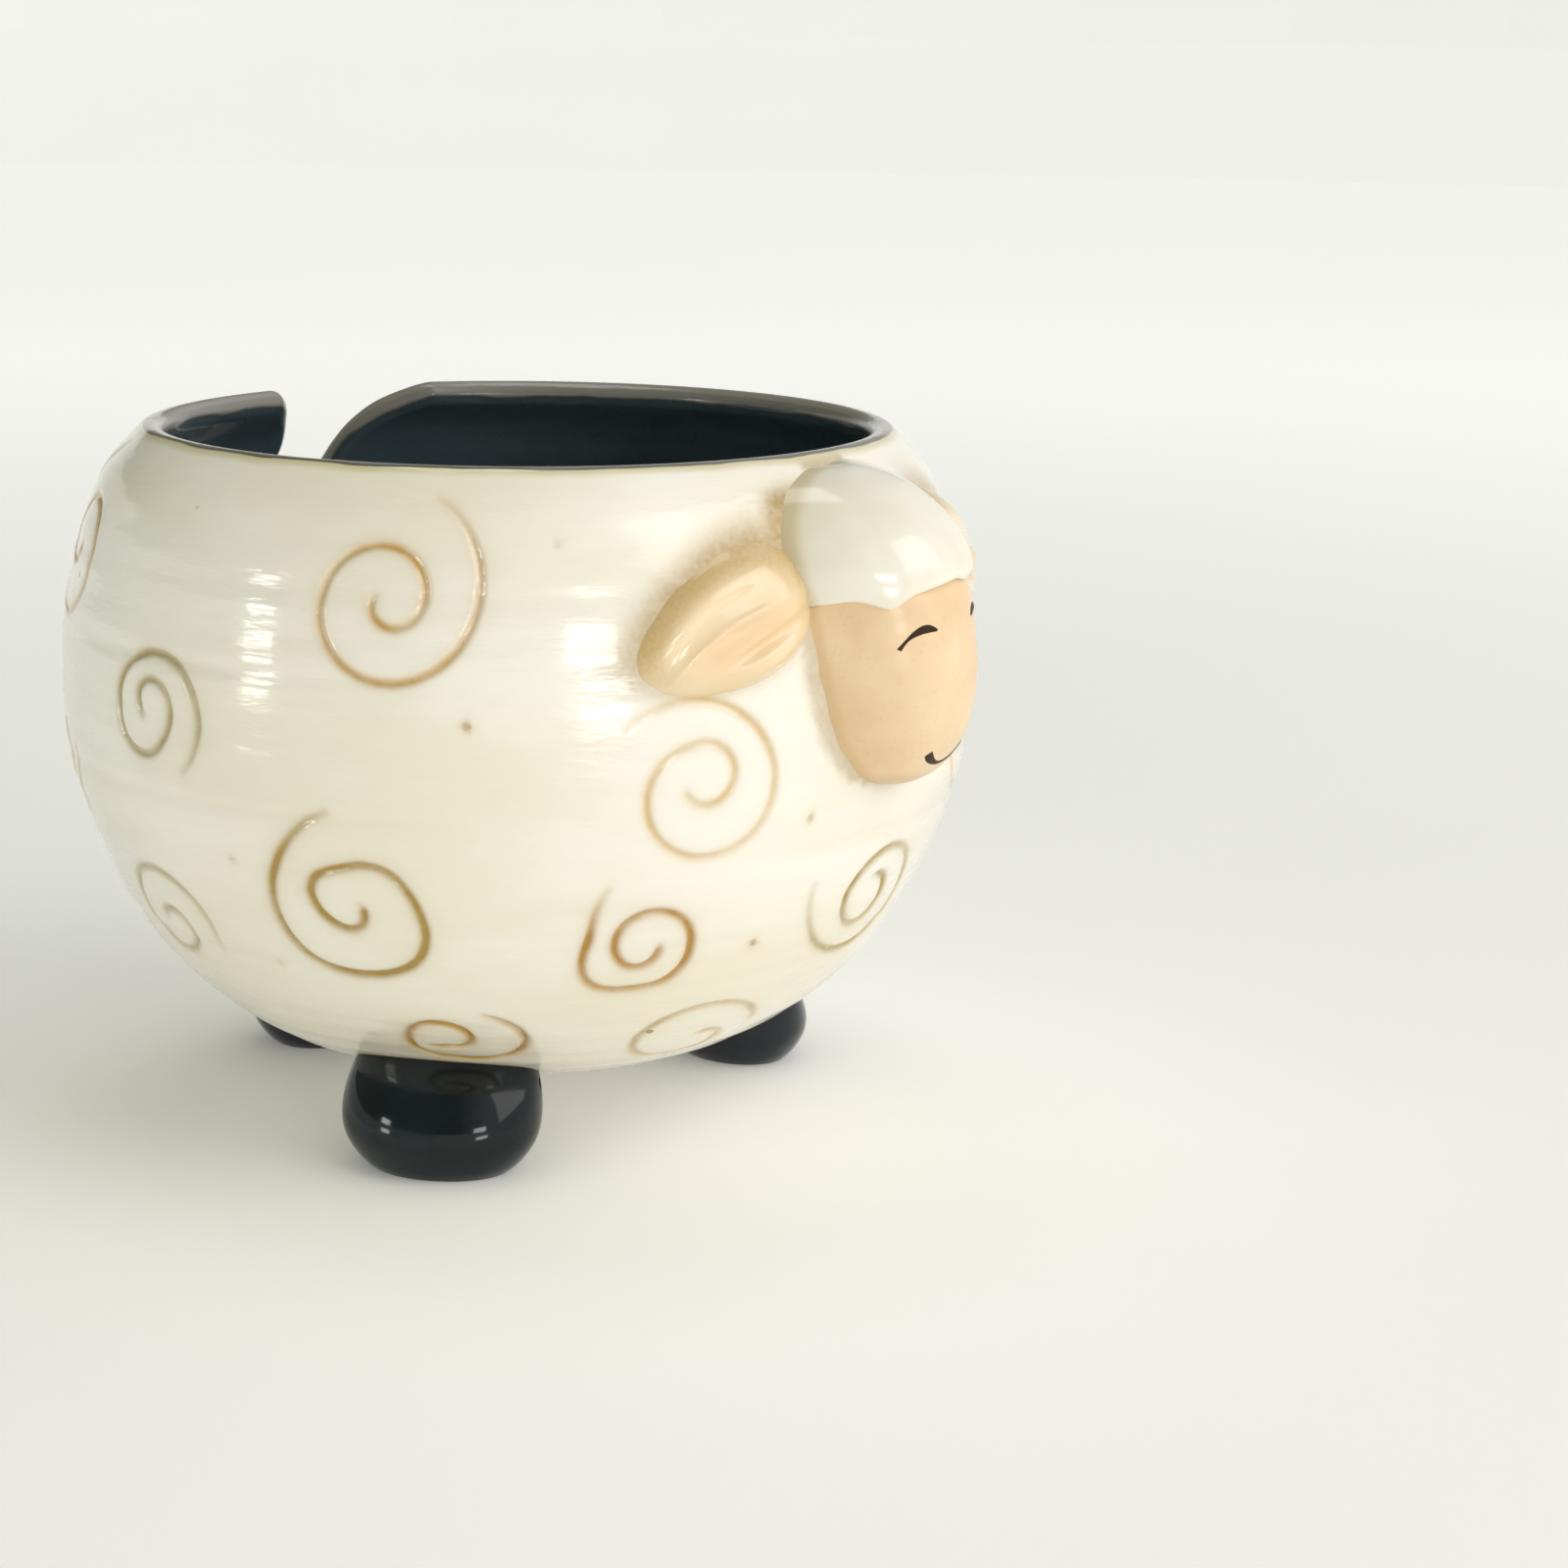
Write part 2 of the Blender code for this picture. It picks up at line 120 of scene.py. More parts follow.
# The head, leaned over about a point on the bowl's axis. Levels are (height, half width, reach).
HEAD_TILT = math.radians(4.0)
HEAD_CENTRE_Z = 0.0890
HEAD_BACK = 0.060
HEAD_POWER = 2.6
HEAD_ROOT = 0.0022
CHIN_Z = 0.0668
FACE_LEVELS = (
    (0.0655, 0.0012, 0.0762), (0.0662, 0.0050, 0.0802), (0.0681, 0.0096, 0.0842),
    (0.0712, 0.0124, 0.0870), (0.0748, 0.0145, 0.0890), (0.0797, 0.0158, 0.0902),
    (0.0850, 0.0164, 0.0907), (0.0912, 0.0165, 0.0905), (0.0988, 0.0162, 0.0886),
    (0.1012, 0.0150, 0.0850),
)
CAP_LEVELS = (
    (0.0991, 0.0168, 0.0891), (0.1020, 0.0170, 0.0888), (0.1052, 0.0167, 0.0875),
    (0.1085, 0.0158, 0.0850), (0.1115, 0.0143, 0.0814), (0.1140, 0.0120, 0.0773),
    (0.1157, 0.0088, 0.0732), (0.1168, 0.0046, 0.0695), (0.1166, 0.0010, 0.0660),
)
# The cap's lower edge over the brow: (share of the half width, drop in mm).
CAP_EDGE = (
    (-1.00, 1.8), (-0.90, 0.9), (-0.80, 0.5), (-0.66, 1.8), (-0.53, 0.6), (-0.38, -0.3),
    (-0.22, -0.8), (0.00, -1.2), (0.16, -0.9), (0.34, -0.2), (0.52, -0.8), (0.70, 0.4),
    (0.86, -0.2), (1.00, 1.2),
)
EAR_BEARING = 24.9
EAR_Z = 0.0969
EAR_DROOP = 17.5
EAR_RISE = 0.0021
EAR_HALF_SIZE = (0.0176, 0.0101)
EAR_THICKNESS = 0.0037
EAR_THINNING = 0.35
EAR_TAPER = 0.22
EAR_SINK = 0.0007
EAR_ROOT = 0.0025

# The feet. Levels are (height, share of the half size), the sole's rings (share, height).
FOOT_HALF_SIZE = (0.0170, 0.0128)
FOOT_LEVELS = (
    (0.0, 0.70), (0.0019, 0.83), (0.0050, 0.955), (0.0083, 1.0), (0.0115, 0.995),
    (0.0146, 0.965), (0.0180, 0.90), (0.0230, 0.80), (0.0290, 0.66),
)
FOOT_SOLE = ((0.40, 0.0005), (0.80, 0.00035), (0.93, 0.0))
FOOT_CLOSING = (0.9, 0.75, 0.55, 0.3)
FOOT_WAIST = 0.0215
FOOT_SINK = 0.0016
FOOT_LEAN = 0.0060
FOOT_SQUEEZE = 0.32
FOOT_BEARINGS = {"foot_front_left": -67.0, "foot_front_right": 70.0, "foot_rear": 175.5}
FOOT_DISTANCES = {"foot_front_left": 0.0450, "foot_front_right": 0.0450, "foot_rear": 0.0490}

# Mesh spacing: on plain wall, by the curls, on hidden backs and along edges.
COARSE = 1.35 * MM
FINE = 0.50 * MM
BACK_STEP = 6.0 * MM
EDGE_STEP = 0.60 * MM
NEAR_CURL = 2.7 * MM
BACK_DEPTH = 0.05 * MM
LIP_ANGLES = (12, 24, 37, 50, 63, 76, 90)
FULL_TURN = 2 * math.pi


# ---- outline of the wall


def natural_cubic(knots, values, at):
    """The natural cubic spline through the values at the knots."""
    knots = np.asarray(knots, float)
    values = np.asarray(values, float)
    if values.ndim == 1:
        return natural_cubic(knots, values[:, None], at)[:, 0]
    gap = np.diff(knots)
    count = len(knots)
    system = np.eye(count)
    right = np.zeros(values.shape)
    for i in range(1, count - 1):
        system[i, i - 1 : i + 2] = gap[i - 1], 2 * (gap[i - 1] + gap[i]), gap[i]
        right[i] = 6 * ((values[i + 1] - values[i]) / gap[i] - (values[i] - values[i - 1]) / gap[i - 1])
    bend = np.linalg.solve(system, right)
    i = np.clip(np.searchsorted(knots, at, side="right") - 1, 0, count - 2)
    h = gap[i][:, None]
    a = (knots[i + 1] - at)[:, None]
    b = (at - knots[i])[:, None]
    curve = (bend[i] * a**3 + bend[i + 1] * b**3) / (6 * h)
    return curve + (values[i] / h - bend[i] * h / 6) * a + (values[i + 1] / h - bend[i + 1] * h / 6) * b


def smoothed(values, at):
    """The natural cubic through evenly spaced values, at shares from 0 to 1."""
    return natural_cubic(np.linspace(0, 1, len(values)), values, at)


def bell(away, width):
    """1 in the middle, falling away smoothly over about a width."""
    return np.exp(-((away / width) ** 2))


def lengths(path, scale=1.0):
    """The distance along a path to each of its points."""
    return np.concatenate([[0.0], np.cumsum(np.hypot(*(np.diff(path, axis=0) * scale).T))])


def unit(rows):
    """Each row as a direction."""
    return rows / np.hypot(*rows.T)[:, None]


def outline():
    """Columns: distance up the wall, and radius, height and normal of the wall's middle."""
    along = lengths(np.array(OUTER_POINTS))
    at = np.linspace(0.0, along[-1], 1200)
    outer = natural_cubic(along, OUTER_POINTS, at)
    slope = unit(np.gradient(outer, at, axis=0))
    normal = np.stack([slope[:, 1], -slope[:, 0]], axis=1)
    up = lengths(outer)
    middle = outer - normal * LIP
    rows = [np.column_stack([up, middle, normal])]
    flat = np.linspace(POLE_RADIUS, outer[0][0] - MM, 40)
    floor = np.column_stack([flat - outer[0][0], flat, np.full(40, outer[0][1] + LIP)])
    rows.insert(0, np.column_stack([floor, np.zeros(40), -np.ones(40)]))
    past = np.linspace(0.0, LIP * 1.2, 13)[1:, None]
    tip = middle[-1] + slope[-1] * past
    rows.append(np.column_stack([up[-1] + past, tip, np.repeat(normal[-1:], 12, axis=0)]))
    return np.vstack(rows)


OUTLINE = outline()
OUTSIDE = OUTLINE[:, 1:3] + OUTLINE[:, 3:5] * LIP
UP_TOP = OUTLINE[-13, 0] + LIP
UP_LOW = OUTLINE[0, 0]
STRETCH = np.concatenate(
    [[0.0], np.cumsum(np.diff(OUTLINE[:, 0]) * 2 / (OUTLINE[1:, 1] + OUTLINE[:-1, 1]))]
)


def at_up(up, column):
    """A column of the outline at a distance up the wall."""
    return np.interp(up, OUTLINE[:, 0], OUTLINE[:, column])


def off_middle(up, lift):
    """Radius and height of a place lifted off the wall's middle."""
    return at_up(up, 1) + at_up(up, 3) * lift, at_up(up, 2) + at_up(up, 4) * lift


def around(turn, radius, height):
    """Points round the bowl's axis."""
    return np.stack([radius * np.sin(turn), AXIS_Y - radius * np.cos(turn), height], axis=-1)


def wall_normal(turn, up):
    """The wall's normal, leaving its rings and grooves out."""
    level = at_up(up, 3)
    return np.stack([level * np.sin(turn), -level * np.cos(turn), at_up(up, 4)], axis=-1)


def turn_of(bearing):
    """A bearing in degrees as an angle from 0 to a full turn."""
    return math.radians(bearing) % FULL_TURN


def from_turn(angle):
    """The angle folded into half a turn either way."""
    return (angle + math.pi) % FULL_TURN - math.pi


def wall_radius(height):
    """The radius of the bowl's outside at a height above the floor."""
    wall = OUTSIDE[OUTLINE[:, 0] >= 0]
    return np.interp(height, wall[:, 1], wall[:, 0])


# ---- slot


def rounded_path(points, steps):
    """A smooth open curve through the points, with that many steps between neighbours."""
    smooth = []
    points = [np.array(point) for point in points]
    for i in range(len(points) - 1):
        before, after = points[max(i - 1, 0)], points[min(i + 2, len(points) - 1)]
        start, end = points[i], points[i + 1]
        for t in np.arange(steps) / steps:
            pull = (end - before) * t + (2 * before - 5 * start + 4 * end - after) * t**2
            bend = (3 * (start - end) + after - before) * t**3
            smooth.append(start + (pull + bend) / 2)
    smooth.append(points[-1])
    return np.array(smooth)


def even_steps(path, step, scale):
    """The path again with points about one step apart."""
    along = lengths(path, scale)
    places = np.linspace(0.0, along[-1], max(2, round(along[-1] / step)) + 1)
    return np.column_stack([np.interp(places, along, path[:, k]) for k in (0, 1)])


def slot_path():
    """The slot's edge as (turn, up), from one end on the crest line to the other."""
    path = rounded_path(SLOT_POINTS, 10)
    high = OUTLINE[:, 0] > 0.05
    up = np.interp(CREST - path[:, 1], OUTLINE[high, 2], OUTLINE[high, 0])
    turn = np.radians(SLOT_BEARING) + path[:, 0] / SLOT_RADIUS
    below = np.nonzero(up < UP_TOP)[0]
    ends = []
    for inside, beyond in ((below[0], below[0] - 1), (below[-1], below[-1] + 1)):
        share = (UP_TOP - up[inside]) / (up[beyond] - up[inside])
        ends.append((turn[inside] + share * (turn[beyond] - turn[inside]), UP_TOP))
    middle = np.column_stack([turn, up])[below[0] : below[-1] + 1]
    whole = np.vstack([ends[0], middle, ends[1]])
    return even_steps(whole, EDGE_STEP, SLOT_SCALE)


SLOT = slot_path()


def to_path(x, y, path):
    """Distance from every (x, y) to the path, and where along the path it is nearest, 0 to 1."""
    start, step = path[:-1], np.diff(path, axis=0)
    length = (step**2).sum(axis=1)
    dx = x[:, None] - start[None, :, 0]
    dy = y[:, None] - start[None, :, 1]
    share = np.clip((dx * step[:, 0] + dy * step[:, 1]) / length, 0, 1)
    apart = np.hypot(dx - share * step[:, 0], dy - share * step[:, 1])
    best = apart.argmin(axis=1)
    rows = np.arange(len(x))
    return apart[rows, best], (best + share[rows, best]) / len(step)


def in_slot(turn, up):
    """Whether a place lies in the open air of the slot."""
    found = np.zeros(len(turn), bool)
    for (x0, y0), (x1, y1) in zip(SLOT, np.roll(SLOT, 1, axis=0)):
        if y0 != y1:
            level = (y0 > up) != (y1 > up)
            found ^= level & (turn < (x1 - x0) * (up - y0) / (y1 - y0) + x0)
    return found


def to_edge(turn, up):
    """Distance from a place on the wall to the rim or the slot's edge."""
    open_rim = (turn <= SLOT[0, 0]) | (turn >= SLOT[-1, 0])
    apart = np.where(open_rim, UP_TOP - up, 1.0)
    by_slot = (turn > SLOT[:, 0].min() - 0.4) & (turn < SLOT[:, 0].max() + 0.4)
    near = np.nonzero((up > 0.085) & by_slot)[0]
    if len(near):
        found, _ = to_path(turn[near] * SLOT_RADIUS, up[near], SLOT * SLOT_SCALE)
        apart[near] = np.minimum(np.abs(apart[near]), found)
    return np.abs(apart)


# ---- curls


def curl_paths():
    """Every curl: its turn, distance up, wall radius, path, depth, strength and warmth."""
    made = []
    placed = [(key, *CURLS[key][:2], False, 0.0) for key in CURLS]
    placed.extend(FAR_CURLS)
    for key, bearing, up, mirrored, spin in placed:
        _, _, first, whole, radii, strength, warmth = CURLS[key]
        share = np.linspace(0.0, 1.0, 150)
        reach = smoothed(radii, share) * MM
        angle = np.radians(first + whole * share + spin)
        path = np.column_stack([reach * np.cos(angle), reach * np.sin(angle)])
        if mirrored:
            path[:, 0] *= -1
        radius = float(off_middle(up * MM, LIP)[0])
        made.append((turn_of(bearing), up * MM, radius, path, min(strength, 1.0), strength, warmth))
    for order, (bearing, up, length, strength) in enumerate(FLECKS):
        lie = np.array([math.cos(order * 1.3), math.sin(order * 1.3)])
        path = np.outer(np.linspace(-0.5, 0.5, 9), lie * length * MM)
        radius = float(at_up(up * MM, 1)) + LIP
        made.append((turn_of(bearing), up * MM, radius, path, FLECK_DEPTH, strength, 0.5))
    return made


CURL_PATHS = curl_paths()


def curls_at(turn, up):
    """Columns at every place: nearest distance, carving, stain and warmth of the curls."""
    found = np.zeros((len(turn), 4))
    found[:, 0] = 1.0
    for order, (middle, height, radius, path, depth, strength, warmth) in enumerate(CURL_PATHS):
        x = from_turn(turn - middle) * radius
        y = up - height
        near = np.nonzero((np.abs(x) < CURL_REACH) & (np.abs(y) < CURL_REACH))[0]
        if not len(near):
            continue
        apart, share = to_path(x[near], y[near], path)
        ends = np.minimum(1.0, 0.35 + share / 0.06) * np.minimum(1.0, 0.25 + (1 - share) / 0.10)
        press = ends * (0.86 + 0.14 * np.sin(share * 23 + order * 1.7))
        carve = press * depth * bell(apart, GROOVE_WIDTH)
        line = bell(apart, STAIN_WIDTH) * (0.84 + 0.16 * np.sin(share * 19 + order))
        soft = 0.14 * bell(apart, STAIN_BLUR)
        stain = strength * ends * (line + soft)
        better = stain > found[near, 2]
        found[near[better], 2] = stain[better]
        found[near[better], 3] = warmth
        found[near, 1] = np.maximum(found[near, 1], carve)
        found[near, 0] = np.minimum(found[near, 0], apart)
    return found


# ---- the thrown wall


def throwing_marks(turn, up, side):
    """How far the potter's fingers pressed the wall in: shallow uneven rings."""
    seed, depth = RINGS[side]
    chance = np.random.default_rng(seed)
    pressed = np.zeros(len(turn))
    height = 0.006
    while height < UP_TOP - 0.004:
        amount = chance.uniform(0.25, 1.0) * depth
        width = chance.uniform(1.3, 2.9) * MM
        phase = chance.uniform(0, FULL_TURN, 4)
        drift = 0.8 * MM * np.sin(turn + phase[0]) + 0.45 * MM * np.sin(2 * turn + phase[1])
        swell = 0.62 + 0.38 * np.sin(turn * chance.integers(1, 4) + phase[2])
        swell *= 0.85 + 0.15 * np.sin(turn * chance.integers(5, 9) + phase[3])
        pressed += amount * swell * bell(up - height - drift, width)
        height += chance.uniform(3.6, 8.4) * MM
    return pressed


def fade(value, low, high):
    """0 below low, 1 above high, smooth between."""
    share = np.clip((value - low) / (high - low), 0, 1)
    return share * share * (3 - 2 * share)


def wall_surface(turn, up, side):
    """Points of the outside (side 1) or inside (side -1) of the wall."""
    edge = to_edge(turn, up)
    rest = np.minimum(edge, LIP)
    half = LIP_FULLNESS * np.sqrt(np.maximum(2 * LIP * rest - rest**2, 0))
    calm = fade(edge, LIP, 3 * LIP) * fade(up, -0.01, 0.012)
    inwards = throwing_marks(turn, up, side)
    if side > 0:
        inwards = inwards + 0.16 * MM * (1 + np.sin(3 * turn + 0.7) * np.sin(up / 0.017 + turn))
    inwards = calm * inwards
    if side > 0:
        inwards = inwards + curls_at(turn, up)[:, 1] * GROOVE_DEPTH
    return around(turn, *off_middle(up, side * (half - inwards)))


def rows_of_points(spacing, chance):
    """Places (turn, up) spread evenly over the wall, in staggered rows."""
    turns, ups = [], []
    up = UP_LOW + spacing
    row = 0
    while up < UP_TOP - LIP * 0.5:
        count = max(9, round(FULL_TURN * float(at_up(up, 1)) / spacing))
        turn = (np.arange(count) + 0.5 * (row % 2) + 0.25) / count * 2 * math.pi
        turns.append(turn + chance.normal(0, 0.03, count) * spacing / float(at_up(up, 1)))
        ups.append(up + chance.normal(0, 0.03, count) * spacing)
        up += spacing * 0.866
        row += 1
    turn, up = np.concatenate(turns), np.concatenate(ups)
    clear = 0.45 * spacing / at_up(up, 1)
    kept = (turn > clear) & (turn < FULL_TURN - clear)
    return np.column_stack([turn[kept], up[kept]])


def keep_off_edge(places, margin):
    """The places at least so many half walls away from the rim and the slot."""
    return places[to_edge(*places.T) > margin * LIP]


def rim_loop():
    """The wall's upper edge as (turn, up, inward turn, inward up): crest, slot, crest."""
    step = EDGE_STEP / float(at_up(UP_TOP, 1))
    start, end = SLOT[0, 0], SLOT[-1, 0]
    first = np.linspace(0, start, round(start / step) + 1)[:-1]
    last = np.linspace(end, FULL_TURN, round((FULL_TURN - end) / step) + 1)[1:]
    slope = unit(np.gradient(SLOT * SLOT_SCALE, axis=0))
    slot = np.column_stack([SLOT, slope[:, 1], -slope[:, 0]])
    before, after = (
        np.column_stack([turn, np.tile((UP_TOP, 0.0, -1.0), (len(turn), 1))]) for turn in (first, last)
    )
    return np.vstack([before, slot, after])


def beside_rim(rim, depth):
    """The rim's points moved inwards by a depth, where they don't meet others."""
    turn = rim[1:-1, 0] + rim[1:-1, 2] * depth / SLOT_RADIUS
    up = rim[1:-1, 1] + rim[1:-1, 3] * depth
    kept = (to_edge(turn, up) > 0.965 * depth) & (turn > 0.004) & (turn < FULL_TURN - 0.004)
    return np.column_stack([turn, up])[kept]


def triangulate(rim, seam, inner, floor_count):
    """A sheet over the whole wall: turns, ups and faces. The first points are the rim's."""
    down = np.column_stack([np.full(len(seam), FULL_TURN), seam[::-1]])
    bottom = np.linspace(FULL_TURN, 0, floor_count + 1)
    floor = np.column_stack([bottom, np.full(floor_count + 1, UP_LOW)])
    rise = np.column_stack([np.zeros(len(seam)), seam])
    loop = np.vstack([rim[:, :2], down, floor, rise])
    places = np.vstack([loop, inner[~in_slot(*inner.T)]])
    stretch = np.interp(places[:, 1], OUTLINE[:, 0], STRETCH)
    plane = np.column_stack([places[:, 0], stretch])
    size = len(loop)
    edges = [(i, (i + 1) % size) for i in range(size)]
    _, _, found, origin, _, _ = delaunay_2d_cdt(
        [Vector(p) for p in plane.tolist()], edges, [], 1, 1e-9, True
    )
    weld = np.arange(len(places))
    weld[len(rim) - 1] = 0
    start = len(rim)
    after = start + len(seam) + floor_count + 1
    weld[start : start + len(seam)] = after + np.arange(len(seam))[::-1]
    weld[start + len(seam)] = start + len(seam) + floor_count
    corners = np.array([[origin[v][0] for v in face] for face in found])
    middle = places[corners].mean(axis=1)
    corners = corners[~in_slot(*middle.T)]
    faces = [tuple(face) for face in weld[corners].tolist()]
    ring = start + len(seam) + np.arange(floor_count + 1)
    pole = len(places)
    faces += [(int(weld[a]), int(weld[b]), pole) for a, b in zip(ring[:-1], ring[1:])]
    places = np.vstack([places, [0.0, UP_LOW]])
    return places[:, 0], places[:, 1], faces


def normals_of(turn, up, side):
    """The surface's normal at each place, from its slope."""
    tiny = 6e-6
    across = tiny / at_up(up, 1)
    step_turn = wall_surface(turn + across, up, side) - wall_surface(turn - across, up, side)
    step_up = wall_surface(turn, up + tiny, side) - wall_surface(turn, up - tiny, side)
    found = np.cross(step_turn, step_up) * side
    return found / np.maximum(np.linalg.norm(found, axis=1), 1e-12)[:, None]


def facing(points, faces, wanted):
    """The faces, turned over where they look away from the wanted direction."""
    corners = points[np.array(faces)]
    looks = np.cross(corners[:, 1] - corners[:, 0], corners[:, 2] - corners[:, 0])
    middle = np.array([wanted[list(face)].sum(axis=0) for face in faces])
    away = (looks * middle).sum(axis=1) < 0
    return [face[::-1] if turned else face for face, turned in zip(faces, away)]


def build(name, points, faces, material, normals=None, **values):
    """A piece from points and faces, with numbers stored on its points."""
    mesh = bpy.data.meshes.new(name)
    mesh.from_pydata(np.asarray(points).tolist(), [], faces)
    if normals is None:
        work = bmesh.new()
        work.from_mesh(mesh)
        bmesh.ops.recalc_face_normals(work, faces=work.faces)
        work.to_mesh(mesh)
        work.free()
    mesh.shade_smooth()
    if normals is not None:
        mesh.normals_split_custom_set_from_vertices(np.asarray(normals).tolist())
    for key, numbers in values.items():
        layer = mesh.attributes.new(key, "FLOAT", "POINT")
        layer.data.foreach_set("value", np.asarray(numbers, dtype=np.float32))
    mesh.materials.append(material)
    made = bpy.data.objects.new(name, mesh)
    bpy.context.scene.collection.objects.link(made)
    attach(made, "root")
    return made


def used_only(points, faces, *columns):
    """Drops the points that no face uses."""
    flat = np.array(faces)
    used = np.unique(flat)
    renamed = np.full(len(points), -1)
    renamed[used] = np.arange(len(used))
    return points[used], [tuple(f) for f in renamed[flat].tolist()], [c[used] for c in columns]


def ear_axes(side):
    """The fall of an ear and the height of its middle."""
    fall = math.radians(EAR_DROOP) - side * HEAD_TILT
    return fall, EAR_Z + side * EAR_RISE


def ear_place(turn, height, side):
    """A place on the wall in the ear's own measure: root to tip, and upwards."""
    fall, middle = ear_axes(side)
    sideways = side * from_turn(turn) - math.radians(EAR_BEARING)
    aside = sideways * BELLY_RADIUS
    rise = height - middle
    along = aside * math.cos(fall) - rise * math.sin(fall)
    upwards = aside * math.sin(fall) + rise * math.cos(fall)
    return along / EAR_HALF_SIZE[0], upwards / EAR_HALF_SIZE[1]


def ear_halo(turn, height, side):
    """Colour blown over an ear's edge, strongest above the ear and at its root."""
    along, across = ear_place(turn, height, side)
    ring = np.hypot(along, across / (1 - 0.2 * np.clip(along, -1, 1)))
    outside = np.clip(ring - 0.96, 0, None)
    top = fade(across, -0.9, 0.5)
    root = 1 - 0.45 * fade(along, -0.2, 1.0)
    spread = 0.10 + 0.24 * top
    return (0.30 + 0.70 * top * root) * bell(outside, spread)


def head_halo(turn, radius, height):
    """Colour blown over the edges of the face and of the cap."""
    front = np.abs(from_turn(turn)) < 1.2
    upright = radius * np.sin(turn) + (height - HEAD_CENTRE_Z) * math.sin(HEAD_TILT)
    x = np.abs(np.where(front, upright, 1.0))
    levels, widths, _ = np.transpose(FACE_LEVELS)
    beside = np.clip(x - 1.17 * np.interp(height, levels, widths, left=0.0, right=0.0), 0, None)
    flank = 0.55 * fade(height, 0.058, 0.066) * (1 - fade(height, 0.100, 0.104))
    flank = np.where(height > CHIN_Z, flank * bell(beside, 1.1 * MM), 0)
    below = np.hypot(np.clip(CHIN_Z - height, 0, None), np.clip(x - 0.005, 0, None))
    chin = 0.65 * bell(below, 0.9 * MM)
    levels, widths, _ = np.transpose(CAP_LEVELS)
    valley = np.clip(x - 1.20 * np.interp(height, levels, widths, right=0.0), 0, None)
    on_cap = fade(height, 0.098, 0.103) * (1 - fade(height, 0.1125, 0.1165))
    cap = on_cap * bell(valley, 3.0 * MM)
    return np.maximum(np.maximum(flank, chin), cap)


def foot_halo(turn, radius, height, node):
    """Thin glaze round the top of a foot."""
    away = from_turn(turn - turn_of(FOOT_BEARINGS[node]))
    sideways = radius * np.sin(away) / (0.86 * FOOT_HALF_SIZE[0])
    outwards = radius * np.cos(away) - FOOT_DISTANCES[node] + FOOT_LEAN * 0.7
    outwards = outwards / (0.64 * FOOT_HALF_SIZE[1])
    ring = np.clip(np.hypot(sideways, outwards) - 0.98, 0, None)
    return 0.8 * bell(ring, 0.10) * (height < 0.035)


def brush_halo(turn, up):
    """Tan colour on the wall round the ears, the face, the cap and the feet."""
    radius, height = off_middle(up, LIP)
    halos = [ear_halo(turn, height, -1), 0.8 * ear_halo(turn, height, 1), head_halo(turn, radius, height)]
    halos += [foot_halo(turn, radius, height, node) for node in FOOT_BEARINGS]
    return np.max(halos, axis=0)


def front_sheet(rim, seam, inner, side):
    """The sheet that is seen: points, faces, normals, turns and ups."""
    turn, up, faces = triangulate(rim, seam, inner, 14)
    points = wall_surface(turn, up, side)
    probe = np.column_stack([turn, up])
    probe[: len(rim)] += rim[:, 2:] * 2e-5 / SLOT_SCALE
    normals = normals_of(*probe.T, side)
    normals[-1] = (0, 0, -side)
    points[-1] = (0, AXIS_Y, at_up(UP_LOW, 2) - side * LIP)
    return points, facing(points, faces, normals), normals, turn, up


def back_sheet(rim, inner, side, edge):
    """A coarse sheet in the wall's middle that closes the piece, from the same rim points."""
    seam = np.append(np.arange(UP_LOW + BACK_STEP, UP_TOP - 2 * LIP, BACK_STEP), UP_TOP - LIP)
    turn, up, faces = triangulate(rim, seam, inner, 8)
    depth = side * BACK_DEPTH
    points = around(turn, *off_middle(up, depth))
    points[: len(rim)] = edge
    points[-1] = (0, AXIS_Y, at_up(UP_LOW, 2) - depth)
    normals = wall_normal(turn, up) * -side
    return points, facing(points, faces, normals), normals, turn, up


def join_sheets(front, back, shared):
    """Both sheets as one mesh. The back's first points are the front's."""
    points, faces, *columns = front
    more, back_faces, *back_columns = back
    offset = len(points) - shared
    faces = faces + [tuple(v if v < shared else v + offset for v in face) for face in back_faces]
    points = np.vstack([points, more[shared:]])
    columns = [np.concatenate([a, b[shared:]]) for a, b in zip(columns, back_columns)]
    return used_only(points, faces, *columns)


